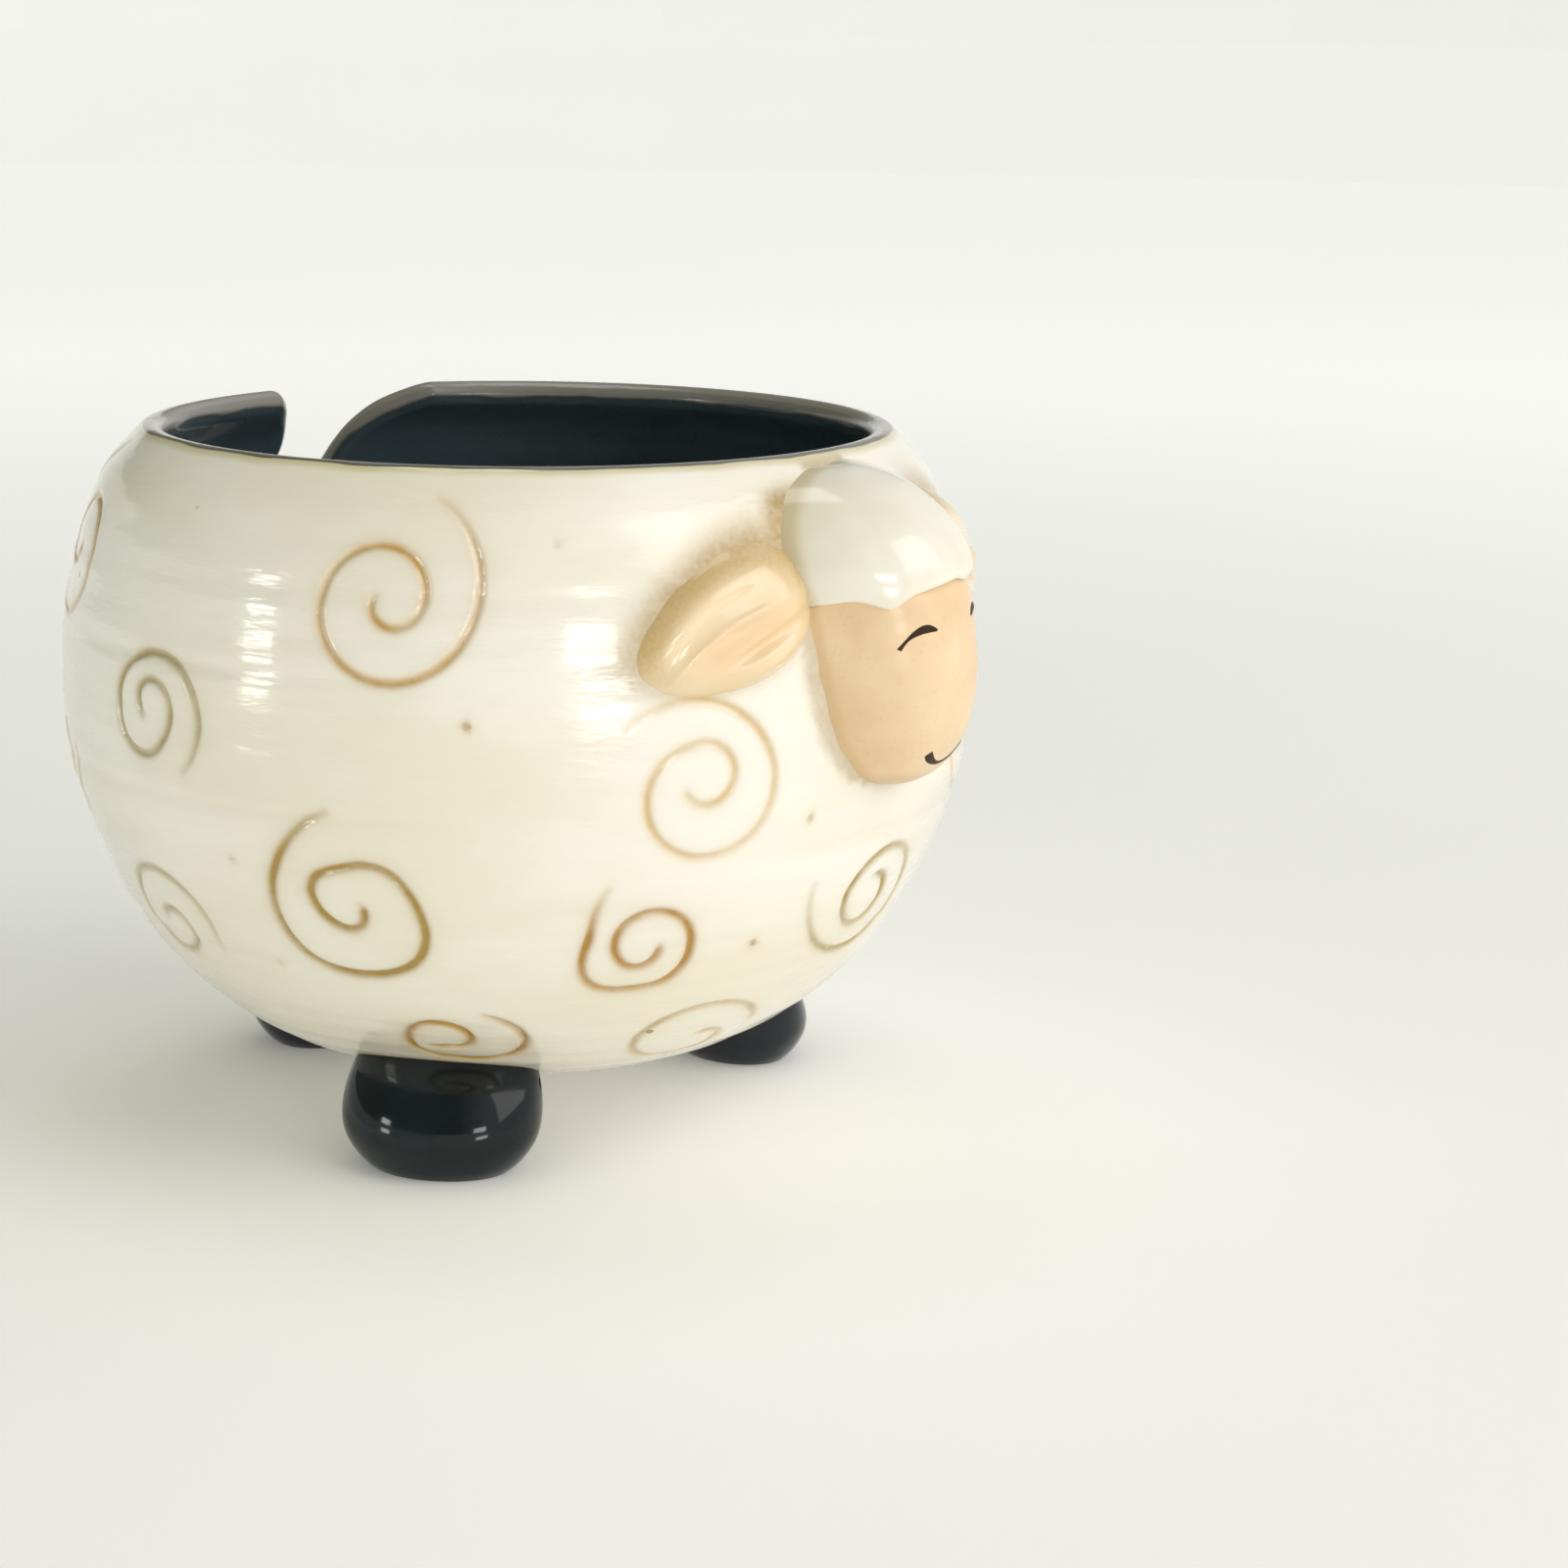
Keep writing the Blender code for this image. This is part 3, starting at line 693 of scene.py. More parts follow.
def make_wall():
    """The outside in cream and the inside in charcoal, meeting on the crest of the rim."""
    chance = np.random.default_rng(3)
    rim = rim_loop()
    depths = LIP * (1 - np.cos(np.radians(LIP_ANGLES)))
    near_rim = np.vstack([beside_rim(rim, depth) for depth in depths])
    seam = np.arange(UP_LOW + COARSE, UP_TOP - 1.6 * LIP, COARSE)
    seam = np.concatenate([seam, (UP_TOP - depths)[::-1]])
    wide = keep_off_edge(rows_of_points(COARSE, chance), 1.15)
    dense = rows_of_points(FINE, chance)
    dense = keep_off_edge(dense[curls_at(*dense.T)[:, 0] < NEAR_CURL * 0.8], 1.08)
    outside = np.vstack([near_rim, wide[curls_at(*wide.T)[:, 0] > NEAR_CURL], dense])
    sparse = keep_off_edge(rows_of_points(BACK_STEP, chance), 1.3)
    for name, side, inner, node, look in (
        ("glazed_outside", 1, outside, "bowl_body", cream_glaze()),
        ("glazed_inside", -1, np.vstack([near_rim, wide]), "bowl_liner", charcoal_glaze()),
    ):
        front = front_sheet(rim, seam, inner, side)
        back = back_sheet(rim, sparse, side, front[0][: len(rim)])
        points, faces, (normals, turn, up) = join_sheets(front, back, len(rim))
        values = {"edge": to_edge(turn, up) / MM}
        if side > 0:
            values["stain"], values["warmth"] = curls_at(turn, up)[:, 2:].T
            values["halo"] = brush_halo(turn, up)
        values["marks"] = throwing_marks(turn, up, side) / RINGS[side][1]
        made = build(name, points, faces, look, normals, **values)
        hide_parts(node)


# ---- head


def head_point(x, reach, height):
    """A point of the head, given upright and leaned over with it."""
    above = height - HEAD_CENTRE_Z
    leaned_x = x * math.cos(HEAD_TILT) - above * math.sin(HEAD_TILT)
    leaned_z = HEAD_CENTRE_Z + x * math.sin(HEAD_TILT) + above * math.cos(HEAD_TILT)
    return np.stack([leaned_x, AXIS_Y - reach, leaned_z], axis=-1)


def grid_faces(rows, columns, closed=False):
    """Quads of a grid of points, closed round its columns or not."""
    faces = []
    for row in range(rows - 1):
        for column in range(columns if closed else columns - 1):
            beside = (column + 1) % columns
            low = row * columns
            faces.append((low + column, low + beside, low + columns + beside, low + columns + column))
    return faces


def tube_faces(rows, columns):
    """Rings of quads, closed at both ends."""
    last = (rows - 1) * columns
    ends = [tuple(range(columns - 1, -1, -1)), tuple(range(last, last + columns))]
    return grid_faces(rows, columns, closed=True) + ends


def fan_faces(rows, columns):
    """Rings of quads round a first point, closed in the middle by triangles."""
    faces = [(0, 1 + k, 1 + (k + 1) % columns) for k in range(columns)]
    return faces + [tuple(v + 1 for v in face)[::-1] for face in grid_faces(rows, columns, closed=True)]


def relief(levels, rows, columns, puff, flare, edge=None):
    """A relief through its levels, open at the back, with a sheet closing the back."""
    smooth = smoothed(levels, np.linspace(0, 1, rows))
    turn = np.linspace(0, math.pi, columns)
    side = -np.sign(np.cos(turn)) * np.abs(np.cos(turn)) ** (2 / HEAD_POWER)
    front = np.sin(turn) ** (2 / HEAD_POWER)
    height, width, reach = (smooth[:, k][:, None] for k in range(3))
    x = width * side[None, :] * (1 + flare * np.abs(side[None, :]) ** 9)
    out = HEAD_BACK + (reach - HEAD_BACK) * front[None, :]
    z = np.repeat(height, columns, axis=1)
    if edge is not None:
        drop = natural_cubic([e[0] for e in edge], [e[1] for e in edge], side) * MM
        fall = (1 - np.linspace(0, 1, rows)[:, None]) ** 3
        z = z - drop[None, :] * fall
    out = out + puff(x, z, side[None, :], np.linspace(0, 1, rows)[:, None])
    leaned = HEAD_CENTRE_Z + x * math.sin(HEAD_TILT) + (z - HEAD_CENTRE_Z) * math.cos(HEAD_TILT)
    wall = np.sqrt(np.maximum(wall_radius(leaned) ** 2 - x**2, 0))
    out = np.maximum(out, wall - HEAD_ROOT)
    points = head_point(x, out, z).reshape(-1, 3)
    faces = grid_faces(rows, columns)
    faces.append(tuple(range(columns)))
    top = (rows - 1) * columns
    faces.append(tuple(range(top + columns - 1, top - 1, -1)))
    back = [row * columns for row in range(rows)]
    beyond = [row * columns + columns - 1 for row in range(rows)]
    faces.append(tuple(back[::-1] + beyond))
    return points, faces


def face_reach(x, z):
    """How far from the bowl's axis the face's surface lies at that place."""
    table = smoothed(FACE_LEVELS, np.linspace(0, 1, 400))
    width = np.interp(z, table[:, 0], table[:, 1])
    reach = np.interp(z, table[:, 0], table[:, 2])
    share = 1 - np.minimum(1, np.abs(x) / width) ** HEAD_POWER
    return HEAD_BACK + (reach - HEAD_BACK) * share ** (1 / HEAD_POWER)


def face_puff(x, z, side, share):
    """Soft modelling of the face: a low nose line and sockets under the eyes."""
    nose = 0.35 * MM * bell(x, 0.0045) * bell(z - 0.0800, 0.006)
    sockets = 0.30 * MM * np.exp(-(((np.abs(x) - 0.0085) / 0.0035) ** 2) - ((z - 0.0905) / 0.003) ** 2)
    return (nose - sockets - 0.35 * MM) * (1 - np.abs(side) ** 8)


def cap_puff(x, z, side, share):
    """Round tufts of wool along the brow and a few shallow dimples above."""
    tufts = 0.28 * MM * (1 + np.cos(side * 9.5 + 0.6)) * (1 - share) ** 2
    lumps = 0.22 * MM * np.sin(x / 0.0042 + 1) * np.sin(z / 0.0036)
    rolled = -0.35 * MM * bell(share, 0.03) - 3 * MM * (share == 0)
    return (tufts + lumps * np.sin(share * math.pi) + rolled - 0.10 * MM) * (1 - np.abs(side) ** 6)


def ear(name, side):
    """A leaf-shaped ear with a rolled rim and a soft hollow, fading into the wall."""
    rows, columns = 64, 168
    share = np.linspace(0, 1, rows)
    ring = np.sin(share * math.pi / 2)[:, None]
    angle = np.linspace(0, FULL_TURN, columns, endpoint=False)[None, :]
    along = ring * np.cos(angle)
    across = ring * np.sin(angle)
    dome = (1 - ring**3.6) ** 1.20 + 0 * angle
    thick = EAR_THICKNESS * (1 - EAR_THINNING * along)
    bow = 0.10 - 0.90 * np.maximum(along, 0) ** 2 - 0.12 * np.minimum(along, 0) ** 2
    ridge = np.exp(-(((across - bow) / 0.075) ** 2) - ((along + 0.05) / 0.70) ** 2)
    valley = np.exp(-(((across - bow - 0.28) / 0.16) ** 2) - ((along - 0.02) / 0.62) ** 2)
    leaf_line = 0.40 + 0.20 * (along + 0.28)
    leaf = np.exp(-(((across + leaf_line) / 0.11) ** 2) - ((along + 0.24) / 0.46) ** 2)
    hollow = np.exp(-(((across + 0.20) / 0.42) ** 2) - ((along + 0.05) / 0.66) ** 2)
    lift = thick * dome - MM * (1.15 * hollow + 0.85 * valley + 1.55 * leaf - 0.60 * ridge)
    lift = lift - EAR_SINK * ring**12 - 0.10 * MM
    length, width = EAR_HALF_SIZE
    fall, middle = ear_axes(side)
    lengthwise = along * length
    upwards = across * width * (1 - EAR_TAPER * along)
    aside = lengthwise * math.cos(fall) + upwards * math.sin(fall)
    height = middle + upwards * math.cos(fall) - lengthwise * math.sin(fall)
    turn = side * (math.radians(EAR_BEARING) + aside / BELLY_RADIUS)
    front = around(turn, wall_radius(height) + lift, height)
    back = around(turn[-1], wall_radius(height[-1]) - EAR_ROOT, height[-1])
    points = np.vstack([front[0, :1], front[1:].reshape(-1, 3), back])
    faces = fan_faces(rows - 1, columns)
    last = 1 + (rows - 2) * columns
    for k in range(columns):
        beside = (k + 1) % columns
        faces.append((last + k, last + beside, last + columns + beside, last + columns + k))
    faces.append(tuple(range(last + columns, last + 2 * columns)))
    rim_tone = np.concatenate([[0.0], np.repeat(ring[1:], columns, axis=1).ravel(), np.ones(columns)])
    high = np.concatenate([[0.0], (across[1:] + 0 * angle).ravel(), across[-1]])
    inside = np.concatenate([[1.0], hollow[1:].ravel(), np.zeros(columns)])
    made = build(name, points, faces, ear_glaze(), rim=rim_tone, high=high, hollow=inside)
    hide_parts(name)


def stroke(name, path, widths):
    """A painted line on the face that swells and thins, as a low rounded ridge."""
    steps = 72
    at = np.linspace(0, 1, steps)
    line = smoothed(np.array(path) * MM, at)
    wide = np.maximum(0.04, smoothed(widths, at)) * MM
    slope = unit(np.gradient(line, axis=0))
    across = np.column_stack([-slope[:, 1], slope[:, 0]])
    angle = np.linspace(0, math.pi, 9)
    ridge = line[:, None] + across[:, None] * np.cos(angle)[:, None] * wide[:, None, None] / 2
    x, z = ridge[..., 0], ridge[..., 1]
    reach = face_reach(x, z) + (0.16 * MM * np.sin(angle) - 0.03 * MM) + face_puff(x, z, 0.0, 0.5)
    buried = face_reach(*line.T) - 0.9 * MM
    columns = (np.column_stack(pair) for pair in ((x, line[:, 0]), (reach, buried), (z, line[:, 1])))
    points = head_point(*columns).reshape(-1, 3)
    made = build(name, points, tube_faces(steps, 10), line_paint())
    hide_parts(name)


def out_of_wall(points):
    """How far points of the head stand out of the wall, in mm."""
    wall = np.sqrt(np.maximum(wall_radius(points[:, 2]) ** 2 - points[:, 0] ** 2, 0))
    return (AXIS_Y - points[:, 1] - wall) / MM


def make_head():
    """The face, the cap of wool, the ears and the painted eyes and mouth."""
    points, faces = relief(FACE_LEVELS, 120, 140, face_puff, 0.20)
    made = build("sheep_face", points, faces, face_glaze(), low=1 - fade(out_of_wall(points), 0.0, 3.0))
    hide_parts("face")
    points, faces = relief(CAP_LEVELS, 130, 180, cap_puff, 0.24, CAP_EDGE)
    made = build("wool_tuft", points, faces, wool_glaze(), low=1 - fade(out_of_wall(points), 0.0, 4.5))
    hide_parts("wool_cap")
    ear("ear_left", -1)
    ear("ear_right", 1)
    stroke("eye_left", ((-10.6, 90.9), (-9.3, 92.6), (-7.7, 93.6), (-6.3, 93.8), (-4.9, 93.4)),
           (0.75, 0.5, 1.0, 1.35, 1.2, 0.45))
    stroke("eye_right", ((4.9, 93.8), (6.1, 94.6), (7.6, 94.7), (9.3, 93.8), (10.9, 92.2)),
           (0.45, 1.2, 1.35, 1.0, 0.5, 0.75))
    stroke("mouth", ((-4.6, 72.9), (-3.2, 71.5), (-1.0, 70.5), (1.2, 70.5), (3.4, 71.4), (4.8, 72.9)),
           (1.3, 1.25, 0.8, 0.6, 0.6, 0.7, 0.6))


# ---- feet


def make_foot(node):
    """A stubby glossy foot, a little lopsided, swelling above its sole."""
    columns = 128
    bearing = math.radians(FOOT_BEARINGS[node])
    outward = np.array([math.sin(bearing), -math.cos(bearing)])
    level = np.array([math.cos(bearing), math.sin(bearing)])
    levels = smoothed(FOOT_LEVELS, np.linspace(0, 1, 72))
    top, last = levels[-1]
    levels = np.vstack([levels, [(top, last * part) for part in FOOT_CLOSING]])
    angle = np.linspace(0, FULL_TURN, columns, endpoint=False)
    lopsided = 1 - 0.012 * (1 + np.sin(2 * angle + bearing)) - 0.008 * (1 + np.cos(3 * angle))
    under = OUTSIDE[OUTLINE[:, 0] > -0.03]
    under = under[: under[:, 0].argmax()]
    rings = [(levels[0][1] * share * lopsided, 1.0, 0.0, rise) for share, rise in FOOT_SOLE]
    for height, share in levels:
        climb = min(1.0, height / FOOT_WAIST)
        ripple = 1 - 0.004 * (1 + np.sin(height / 0.0021 + 1.5 * np.sin(angle)))
        size = share * lopsided * ripple
        rings.append((size, 1 - FOOT_SQUEEZE * climb**3, FOOT_LEAN * climb**2.5, max(height, 0)))
    points = []
    for size, flatter, lean, height in rings:
        flat = outward * FOOT_DISTANCES[node] + np.outer(size * np.cos(angle) * FOOT_HALF_SIZE[0], level)
        flat = flat + np.outer(size * flatter * np.sin(angle) * FOOT_HALF_SIZE[1] - lean, outward)
        roof = np.interp(np.hypot(*flat.T), under[:, 0], under[:, 1]) + FOOT_SINK
        points.append(np.column_stack([flat[:, 0], AXIS_Y + flat[:, 1], np.minimum(height, roof)]))
    made = build("glossy_" + node, np.vstack(points), tube_faces(len(rings), columns), black_glaze())
    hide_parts(node)


# ---- materials


def rgb(code):
    """A linear colour from a screen colour."""
    parts = [(code >> shift & 255) / 255 for shift in (16, 8, 0)]
    return tuple(p / 12.92 if p < 0.04045 else ((p + 0.055) / 1.055) ** 2.4 for p in parts) + (1.0,)


def add_node(tree, kind, inputs, **settings):
    """A new node with its settings and its inputs, which are sockets or plain values."""
    node = tree.nodes.new("ShaderNode" + kind)
    for key, setting in settings.items():
        setattr(node, key, setting)
    fill(tree, node, inputs)
    return node


def fill(tree, node, inputs):
    """Links the sockets and sets the plain values."""
    for key, value in inputs.items():
        if isinstance(value, bpy.types.NodeSocket):
            tree.links.new(value, node.inputs[key])
        else:
            node.inputs[key].default_value = value


class Look:
    """A node material being put together."""

    def __init__(self, name):
        self.material = bpy.data.materials.new(name)
        self.material.use_nodes = True
        self.tree = self.material.node_tree
        self.coords = add_node(self.tree, "TexCoord", {}).outputs["Object"]

    def value(self, name):
        """A number stored on the piece's points."""
        return add_node(self.tree, "Attribute", {}, attribute_name=name).outputs["Fac"]

    def noise(self, scale, detail=3.0, rough=0.5, stretch=None):
        """Soft noise, finer at a larger scale."""
        place = self.coords
        if stretch:
            place = add_node(self.tree, "Mapping", {"Vector": place, "Scale": stretch}).outputs["Vector"]
        inputs = {"Vector": place, "Scale": scale, "Detail": detail, "Roughness": rough}
        return add_node(self.tree, "TexNoise", inputs).outputs["Fac"]

    def cells(self, scale):
        """Distance to the nearest of many scattered points."""
        inputs = {"Vector": self.coords, "Scale": scale}
        return add_node(self.tree, "TexVoronoi", inputs).outputs["Distance"]

    def span(self, value, low, high, start=0.0, end=1.0):
        """The value carried from one range to another, clamped and smooth."""
        inputs = {"Value": value, "From Min": low, "From Max": high, "To Min": start, "To Max": end}
        return add_node(self.tree, "MapRange", inputs, interpolation_type="SMOOTHSTEP").outputs["Result"]

    def sum(self, kind, a, b):
        """Two numbers put together: ADD or MULTIPLY."""
        settings = {"operation": kind, "use_clamp": kind == "MULTIPLY"}
        return add_node(self.tree, "Math", {0: a, 1: b}, **settings).outputs[0]

    def mix(self, share, a, b):
        """One colour turning into another as the share goes from 0 to 1."""
        return add_node(self.tree, "Mix", {0: share, 6: a, 7: b}, data_type="RGBA").outputs[2]

    def patches(self, noise, low, high, first, second):
        """The first colour with soft patches of the second."""
        return self.mix(self.span(noise, low, high), rgb(first), rgb(second))

    def wash(self, colour, code, *span):
        """The colour with another laid over it as far as the span says."""
        return self.mix(self.span(*span), colour, rgb(code))

    def uneven(self, scale, start, end, low=0.3, high=0.7):
        """A number that wanders between two values."""
        return self.span(self.noise(scale, 2.0), low, high, start, end)

    def height(self):
        """Height above the floor in metres."""
        return add_node(self.tree, "SeparateXYZ", {0: self.coords}).outputs["Z"]

    def finish(self, colour, rough, bump=None, strength=0.1, distance=0.0002, coat=0.4, shine=0.5, **more):
        """The material, with its colour, gloss and fine bumps."""
        inputs = {"Base Color": colour, "Roughness": rough, "Specular IOR Level": shine}
        inputs.update({"Coat Weight": coat, "Coat Roughness": 0.05}, **more)
        if bump is not None:
            bumps = {"Strength": strength, "Distance": distance, "Height": bump}
            inputs["Normal"] = add_node(self.tree, "Bump", bumps).outputs["Normal"]
        fill(self.tree, self.tree.nodes["Principled BSDF"], inputs)
        return self.material


def cream_glaze():
    """Cream glaze with tan stain in the curls, a grey rim and a few iron flecks."""
    look = Look("cream_glaze_look")
    cloudy = look.noise(22.0, 3.0, 0.5, (1.0, 1.0, 2.4))
    colour = look.patches(cloudy, 0.35, 0.68, 0xFBF6EC, 0xF4EDDB)
    colour = look.wash(colour, 0xE5DEC2, look.value("marks"), 0.2, 1.3, 0.0, 0.42)
    colour = look.wash(colour, 0xE6DEC2, look.height(), 0.060, 0.016, 0.0, 0.40)
    halo = look.sum("MULTIPLY", look.value("halo"), look.uneven(900.0, 0.84, 1.0, 0.30, 0.68))
    colour = look.mix(halo, colour, rgb(0xB3935A))
    blotchy = look.span(look.noise(300.0, 3.0), 0.30, 0.70, 0.80, 1.0)
    stain = look.sum("MULTIPLY", look.value("stain"), blotchy)
    tone = look.mix(look.value("warmth"), rgb(0xA2924A), rgb(0xBC8C36))
    tone = look.wash(tone, 0xD0A436, look.value("warmth"), 0.95, 1.30)
    colour = look.mix(stain, colour, tone)
    spots = look.span(look.cells(95.0), 0.045, 0.075, 1.0, 0.0)
    rare = look.span(look.noise(36.0, 1.0), 0.60, 0.64)
    colour = look.mix(look.sum("MULTIPLY", spots, rare), colour, rgb(0xA8915C))
    edge = look.sum("ADD", look.value("edge"), look.uneven(70.0, -0.22, 0.22))
    for outer, inner, code in ((4.2, 2.3, 0xD9CFA9), (2.35, 1.95, 0x5C574A), (1.75, 1.30, 0x8C8781)):
        colour = look.wash(colour, code, edge, outer, inner)
    brushed = look.noise(75.0, 3.0, 0.5, (1.0, 1.0, 5.0))
    return look.finish(colour, look.uneven(60.0, 0.12, 0.19), brushed, 0.38, 0.0007)


def charcoal_glaze():
    """Blue-grey charcoal glaze inside, thinning to mid grey on the rim."""
    look = Look("charcoal_glaze_look")
    cloudy = look.noise(30.0, 4.0, 0.6, (1.0, 1.0, 2.0))
    colour = look.patches(cloudy, 0.35, 0.7, 0x3D4D55, 0x4D5D65)
    colour = look.wash(colour, 0x4E5C63, look.value("marks"), 0.9, 0.1, 0.0, 0.20)
    edge = look.sum("ADD", look.value("edge"), look.uneven(60.0, -0.3, 0.3))
    for outer, inner, code in ((1.5, 0.8, 0x444B4E), (0.75, 0.30, 0x85817B)):
        colour = look.wash(colour, code, edge, outer, inner)
    return look.finish(colour, look.uneven(80.0, 0.20, 0.30), look.noise(260.0, 2.0), 0.12, 0.00025, 0.3)


def face_glaze():
    """Peach glaze, darker in thin spots towards its outer edge and the chin."""
    look = Look("face_glaze_look")
    colour = look.patches(look.noise(70.0, 3.0), 0.3, 0.7, 0xF5DAB4, 0xEDCBA0)
    colour = look.wash(colour, 0xC99C62, look.height(), 0.0700, 0.0662, 0.0, 0.60)
    colour = look.wash(colour, 0xDDBB88, look.value("low"), 0.35, 1.0, 0.0, 0.55)
    colour = look.wash(colour, 0xD9B07C, look.noise(1400.0, 2.0), 0.58, 0.70, 0.0, 0.18)
    return look.finish(colour, 0.30, look.noise(420.0, 2.0), 0.10, 0.0002, 0.15)


def ear_glaze():
    """Peach glaze with a tan airbrushed rim, darkest above."""
    look = Look("ear_glaze_look")
    colour = look.patches(look.noise(80.0, 3.0), 0.3, 0.7, 0xF9E3C1, 0xF3D7AE)
    colour = look.wash(colour, 0xF0C795, look.value("hollow"), 0.2, 0.95, 0.0, 0.45)
    above = look.span(look.value("high"), -0.65, 0.25, 0.22, 1.0)
    rim = look.sum("MULTIPLY", look.span(look.value("rim"), 0.56, 0.86), above)
    rim = look.sum("MULTIPLY", rim, look.uneven(1300.0, 0.84, 1.0, 0.30, 0.65))
    colour = look.mix(rim, colour, rgb(0xD6B883))
    return look.finish(colour, 0.17, look.noise(300.0, 2.0), 0.08, 0.0002, 0.5)


def wool_glaze():
    """Thick white glaze with a faint tan line where it runs out."""
    look = Look("wool_glaze_look")
    colour = look.patches(look.noise(55.0, 3.0), 0.3, 0.7, 0xF8F3E6, 0xF0E9D6)
    colour = look.wash(colour, 0xD3BF93, look.value("low"), 0.25, 1.0, 0.0, 0.75)
    return look.finish(colour, 0.16, look.noise(260.0, 2.0), 0.10, 0.00025, 0.5)


def line_paint():
    """Dark brown underglaze paint."""
    look = Look("line_paint_look")
    colour = look.patches(look.noise(900.0, 2.0), 0.35, 0.65, 0x241406, 0x3C2610)
    return look.finish(colour, 0.45, look.noise(1500.0, 2.0), 0.1, 0.0001, 0.0, 0.25)


def black_glaze():
    """Blue-black high gloss glaze, worn on the sole."""
    look = Look("black_glaze_look")
    colour = look.patches(look.noise(60.0, 3.0), 0.35, 0.7, 0x10171C, 0x1B262C)
    colour = look.wash(colour, 0x3A3E3F, look.height(), 0.0016, 0.0004, 0.0, 0.6)
    rough = look.uneven(90.0, 0.06, 0.12)
    return look.finish(colour, rough, look.noise(200.0, 2.0), 0.14, 0.0003, 0.12, 0.28)


# ---- studio

VIEW_BEARING = math.radians(-50.0)
VIEW_DISTANCE = 0.6078
VIEW_HEIGHT = 0.1895
VIEW_YAW = math.radians(4.33)
VIEW_PITCH = math.radians(12.46)
VIEW_ROLL = math.radians(0.80)
VIEW_LENS = 81.8
VIEW_SIDEWAYS = (math.cos(VIEW_BEARING), math.sin(VIEW_BEARING))
WINDOW_DISTANCE = 0.9
FLOOR_REACH = 6.0


def camera_place():
    """Where the camera stands."""
    x = VIEW_DISTANCE * math.sin(VIEW_BEARING)
    return Vector((x, AXIS_Y - VIEW_DISTANCE * math.cos(VIEW_BEARING), VIEW_HEIGHT))


def make_camera():
    """The camera, as the photograph was taken."""
    data = bpy.data.cameras.new("studio_camera")
    data.lens = VIEW_LENS
    data.sensor_width = 36.0
    data.clip_start = 0.01
    data.clip_end = 50.0
    camera = bpy.data.objects.new("studio_camera", data)
    camera.matrix_world = (
        Matrix.Translation(camera_place())
        @ Matrix.Rotation(VIEW_BEARING - VIEW_YAW, 4, "Z")
        @ Matrix.Rotation(math.pi / 2 - VIEW_PITCH, 4, "X")
        @ Matrix.Rotation(VIEW_ROLL, 4, "Z")
    )
    bpy.context.scene.collection.objects.link(camera)
    bpy.context.scene.camera = camera


def mirror_light(name, bearing, up, size, power, tint):
    """A window that the camera sees mirrored at that place on the wall."""
    turn = np.array([turn_of(bearing)])
    height = np.array([up * MM])
    place = Vector(wall_surface(turn, height, 1)[0])
    normal = Vector(wall_normal(turn, height)[0])
    sight = (place - camera_place()).normalized()
    bounce = sight - 2 * sight.dot(normal) * normal
    area_light(name, place + bounce * WINDOW_DISTANCE, place, size, power, tint)


def area_light(name, place, target, size, power, tint=0xFFFFFF):
    """A rectangular light at a place, facing the target."""
    data = bpy.data.lights.new(name, "AREA")
    data.shape = "RECTANGLE"
    data.size, data.size_y = size
    data.energy = power
    data.color = rgb(tint)[:3]
    light = bpy.data.objects.new(name, data)
    light.location = place
    light.rotation_euler = (Vector(target) - Vector(place)).to_track_quat("-Z", "Y").to_euler()
    bpy.context.scene.collection.objects.link(light)


def make_sky():
    """Even light from the sky, darker on the camera's left."""
    world = bpy.data.worlds.new("studio")
    world.use_nodes = True
    tree = world.node_tree
    place = add_node(tree, "TexCoord", {}).outputs["Generated"]
    slant = add_node(tree, "VectorMath", {0: place, 1: (*VIEW_SIDEWAYS, 0.15)}, operation="DOT_PRODUCT")
    ramp = add_node(tree, "ValToRGB", {"Fac": slant.outputs["Value"]})
    dark, light = ramp.color_ramp.elements
    dark.position, dark.color = 0.0, (0.18, 0.19, 0.13, 1.0)
    light.position, light.color = 0.45, (0.79, 0.79, 0.78, 1.0)
    tree.links.new(ramp.outputs["Color"], tree.nodes["Background"].inputs["Color"])
    bpy.context.scene.world = world
    bpy.context.scene.view_settings.view_transform = "Standard"


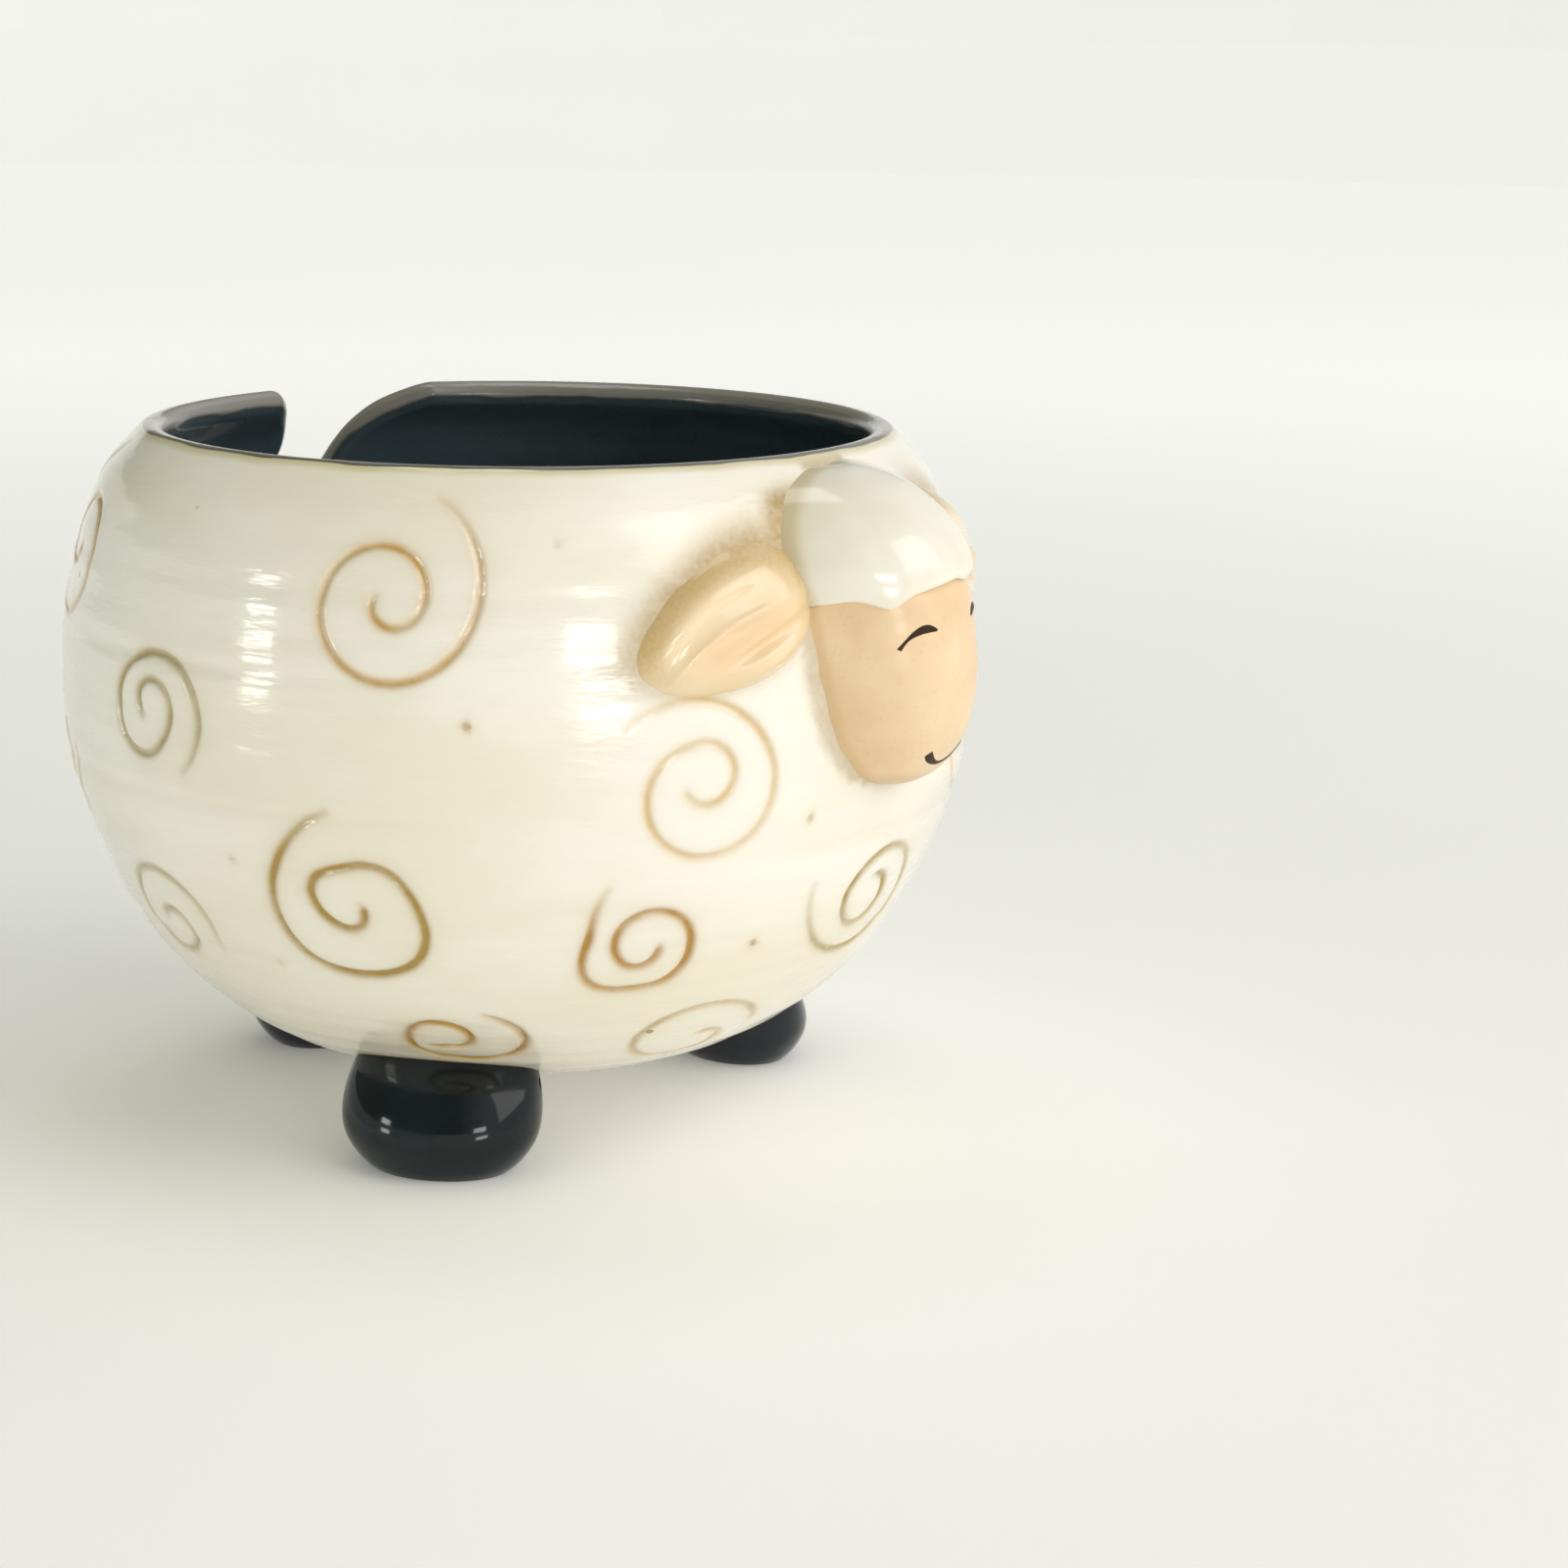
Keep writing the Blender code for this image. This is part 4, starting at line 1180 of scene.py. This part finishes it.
def make_floor():
    """A white floor that climbs towards its edge and glows a little, like a lit backdrop."""
    steps = 96
    points = [(0.0, 0.0, 0.0)]
    rings = [FLOOR_REACH * (k / 12) ** 2 for k in range(1, 13)]
    for radius in rings:
        climb = 1.1 * max(0.0, radius / FLOOR_REACH - 0.55) ** 2 * FLOOR_REACH
        for k in range(steps):
            angle = FULL_TURN * k / steps
            points.append((radius * math.cos(angle), radius * math.sin(angle), climb))
    mesh = bpy.data.meshes.new("floor")
    mesh.from_pydata(points, [], fan_faces(len(rings), steps))
    floor = bpy.data.objects.new("floor", mesh)
    bpy.context.scene.collection.objects.link(floor)
    look = Look("floor_look")
    colour = look.mix(look.noise(3.0), rgb(0xFAFAF8), rgb(0xF4F4F1))
    away = add_node(look.tree, "VectorMath", {0: look.coords}, operation="LENGTH")
    sides = {0: look.coords, 1: (*VIEW_SIDEWAYS, 0)}
    sideways = add_node(look.tree, "VectorMath", sides, operation="DOT_PRODUCT")
    glow = look.span(away.outputs["Value"], 0.15, 1.4, 0.14, 0.42)
    lit = look.span(sideways.outputs["Value"], -3.2, -1.0, 0.15, 1.0)
    emission = {"Emission Strength": look.sum("MULTIPLY", glow, lit), "Emission Color": (1.0, 1.0, 1.0, 1.0)}
    mesh.materials.append(look.finish(colour, 0.7, coat=0.0, **emission))


def make_studio():
    """Sky, floor, a large soft key light and two mullioned windows."""
    make_sky()
    make_floor()
    area_light("key", (0.25, -1.30, 1.00), (0, 0, 0.06), (1.3, 1.1), 8.0, 0xFFFDF6)
    area_light("above", (0.2, 0.35, 1.5), (0, 0, 0.06), (0.6, 0.6), 2.0)
    for k in range(3):
        mirror_light("pane_left_%d" % k, -81.5, 107 - 9.5 * k, (0.13, 0.10), 0.42, 0xFDFFF4)
        mirror_light("pane_front_%d" % k, -42.0 + 1.5 * k, 104 - 10 * k, (0.20, 0.11), 0.60, 0xFFFDF6)


make_wall()
make_head()
for foot_node in FOOT_BEARINGS:
    make_foot(foot_node)
make_camera()
make_studio()
